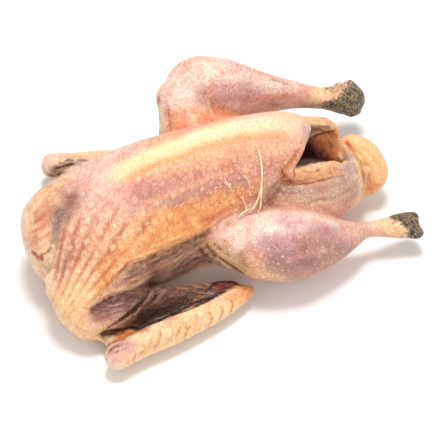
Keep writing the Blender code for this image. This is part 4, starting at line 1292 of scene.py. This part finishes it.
def skin_finish():
    """Moist raw skin: painted ground, mottling, pale follicle dots in rows, fine creases and a wet sheen."""
    mix = Recipe("raw_fowl_skin")
    place = mix.add("TexCoord", None, None, "Object")
    paint = mix.attribute("paint", "Color")
    uneven = mix.other(paint, "Alpha")
    dot, pit = dotted_rows(mix)
    cloud = mix.noise(place, 90.0, 4.0)
    blush = mix.noise(place, 170.0, 4.0, 0.6)
    mottle = mix.noise(place, 420.0, 4.0, 0.65)
    fine = mix.noise(place, 1400.0, 3.0, 0.65)
    ground = paint
    for noise, low, high, amount, shade in (
        (cloud, 0.46, 0.68, 0.5, CLOUD_TINT),
        (blush, 0.48, 0.68, 0.5, BLUSH_TINT),
        (mottle, 0.46, 0.72, 0.45, MOTTLE_TINT),
    ):
        ground = mix.blend(mix.fade(noise, low, high) * uneven * amount, ground, shade, "MULTIPLY")
    ground = mix.blend((1 - mix.fade(mottle, 0.28, 0.5)) * 0.22, ground, ground, "SCREEN")
    # Painted shade in the pit round each follicle dot.
    ground = mix.blend(pit * 0.45, ground, PIT_SHADE, "MULTIPLY")
    ground = mix.blend(dot * 0.8, ground, FOLLICLE_CREAM)
    ground = mix.blend(mix.fade(fine, 0.5, 0.66) * uneven * 0.6, ground, FINE_TINT, "MULTIPLY")
    wrinkle = mix.noise(mix.stretched(place, (1.0, 0.28, 0.28)), 1500.0, 2.0, 0.5)
    ground = mix.blend(mix.fade(wrinkle, 0.52, 0.62) * 0.4, ground, WRINKLE_TINT, "MULTIPLY")
    crease = mix.cells(place, 620.0, 1.0, {"feature": "DISTANCE_TO_EDGE"})
    loose = 1 - mix.fade(mix.red_of(paint), 0.16, 0.55)
    crinkle_noise = mix.noise(mix.stretched(place, (0.35, 1.0, 1.0), 0.35), 620.0, 4.0, 0.65)
    furrow = (1 - mix.fade(crinkle_noise, 0.38, 0.5)) * loose
    fold_light = mix.fade(crinkle_noise, 0.53, 0.66) * loose
    # Painted shade in the furrows and painted highlight on the folds of the dark, loose skin.
    ground = mix.blend(furrow * 0.75, ground, FURROW_SHADE, "MULTIPLY")
    ground = mix.blend(fold_light * 0.95, ground, ground, "SCREEN")
    scaly = mix.add("SeparateXYZ", None, {"Vector": mix.attribute("scales_and_painted_light")}, "X")
    broken = (mix.noise(place, 1000.0, 3.0, 0.6) - 0.5) * 0.9
    # Fine grooves get painted shade and fine ridges a painted highlight.
    groove = mix.fade(mix.other(scaly, "Y") + broken, 0.30, 0.52)
    ridge = mix.fade(mix.other(scaly, "Z") + broken, 0.32, 0.56)
    ground = mix.blend(groove * 0.55, ground, GROOVE_SHADE, "MULTIPLY")
    ground = mix.blend(ridge * 0.4, ground, ground, "SCREEN")
    scales = mix.cells(mix.stretched(place, (0.8, 1.3, 1.3)), 900.0, 1.0)
    scale_own = mix.red_of(mix.other(scales, "Color"))
    ring_noise = mix.noise(mix.stretched(place, (1.7, 0.7, 0.7)), 330.0, 4.0, 0.7) - 0.5
    ring = 1 - mix.fade(mix.add("Math", {"operation": "ABSOLUTE"}, {0: ring_noise}), 0.012, 0.05)
    scale_dark = mix.fade(scaly * 1.8 - scale_own * 0.95 - 0.1, 0.0, 0.12)
    scale_tone = mix.blend(scale_own, SCALE_BLACK, SCALE_GREY)
    scale_tone = mix.blend(mix.fade(scaly, 0.25, 0.8), SPECK_BROWN, scale_tone)
    scale_tone = mix.blend(ring * 0.65, scale_tone, SCALE_EDGE)
    ground = mix.blend(scale_dark, ground, scale_tone)
    relief = mottle * 0.7 + fine * 0.4 + wrinkle * 0.35 + mix.fade(crease, 0.0, 0.14) * 0.3
    relief = relief + (fold_light - furrow) * 0.8 + dot * 0.7 + ridge * 0.5 - groove * 0.7
    relief = relief - ring * scaly * 0.9 - scales * scaly * 0.8
    return mix.shade(
        {
            "Base Color": ground,
            "Roughness": mix.fade(mottle, 0.3, 0.75) * 0.22 + 0.36,
            "Subsurface Weight": 0.1,
            "Subsurface Radius": (1.0, 0.4, 0.25),
            "Subsurface Scale": 0.0018,
            "Specular IOR Level": 0.4,
            "Coat Weight": 0.22,
            "Coat Roughness": 0.22,
            "Normal": mix.add("Bump", None, {"Strength": 0.85, "Distance": 0.0010, "Height": relief}),
        }
    )


def strand_finish():
    """Dried, slightly see-through skin."""
    mix = Recipe("dried_skin_strand")
    place = mix.add("TexCoord", None, None, "Object")
    bump = mix.add("Bump", None, {"Strength": 0.4, "Distance": 0.0003, "Height": mix.noise(place, 1800.0)})
    return mix.shade(
        {
            "Base Color": mix.blend(mix.fade(mix.noise(place, 500.0), 0.4, 0.65), STRAND_CREAM, STRAND_TAN),
            "Roughness": mix.noise(place, 700.0) * 0.2 + 0.35,
            "Subsurface Weight": 0.2,
            "Subsurface Radius": (1.0, 0.5, 0.3),
            "Subsurface Scale": 0.001,
            "Normal": bump,
        }
    )


def floor_finish():
    mix = Recipe("pale_floor")
    place = mix.add("TexCoord", None, None, "Object")
    ground = mix.blend(mix.noise(place, 40.0) * 0.5, FLOOR_GREY, FLOOR_WHITE)
    return mix.shade({"Base Color": ground, "Roughness": 0.75})


def make_camera():
    lens = bpy.data.cameras.new("studio_camera")
    lens.lens = CAMERA_LENS
    lens.sensor_width = CAMERA_SENSOR
    camera = new_piece("studio_camera", lens)
    camera.location = camera_place()
    camera.rotation_euler = (CAMERA_AIM - camera.location).to_track_quat("-Z", "Y").to_euler()
    bpy.context.scene.camera = camera


def soft_light(name, place, width, power):
    data = bpy.data.lights.new(name, "AREA")
    data.shape = "DISK"
    data.size = width
    data.energy = power
    light = new_piece(name, data)
    light.location = place
    light.rotation_euler = (LIGHT_AIM - light.location).to_track_quat("-Z", "Y").to_euler()


def make_studio():
    world = bpy.data.worlds.new("studio_air")
    world.use_nodes = True
    air = world.node_tree.nodes["Background"]
    air.inputs["Color"].default_value = (1.0, 1.0, 1.0, 1.0)
    air.inputs["Strength"].default_value = AIR_LIGHT
    bpy.context.scene.world = world
    for light in LIGHTS:
        soft_light(*light)
    form = bmesh.new()
    bmesh.ops.create_grid(form, x_segments=8, y_segments=8, size=FLOOR_HALF_WIDTH)
    floor = finished_piece("studio_floor", form)
    floor.data.materials.append(floor_finish())
    bpy.context.scene.view_settings.view_transform = "Standard"


make_camera()
make_studio()

bird = skin_blank()
skin = Skin(bird)
skin.wash(NECK_CREAM, np.ones(len(skin.start)))
lay_colours(skin, TRUNK_COLOURS, both=True)
for rows in (KEEL_AND_NECK_COLOURS, LEG_COLOURS, WING_COLOURS):
    lay_colours(skin, rows)
fold_flanks(skin)
crease_neck(skin)
crease_wing(skin)
crease_low_flank(skin)
inside = colour_vent(skin)
for rows in (
    NECK_MARKS,
    BREAST_MARKS,
    FLANK_MARKS,
    NEAR_WING_MARKS,
    FAR_WING_MARKS,
    LEG_MARKS,
    VENT_MARKS,
    RUMP_MARKS,
):
    lay_marks(skin, rows)
skin.raise_marks()
shade_creases(skin)
calm_fat(skin)
plan_follicles(skin, inside)
mark_hocks(skin)
skin.settle()
skin.store()
bird.data.materials.append(skin_finish())
bird.data.shade_smooth()
strands = make_strands("skin_strands", SKIN_STRANDS)
hairs = make_strands("filoplume_hairs", HAIRS)
for piece in (strands, hairs):
    piece.data.materials.append(strand_finish())
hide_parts("guinea_fowl")
for piece in (bird, strands, hairs):
    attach(piece, "root")
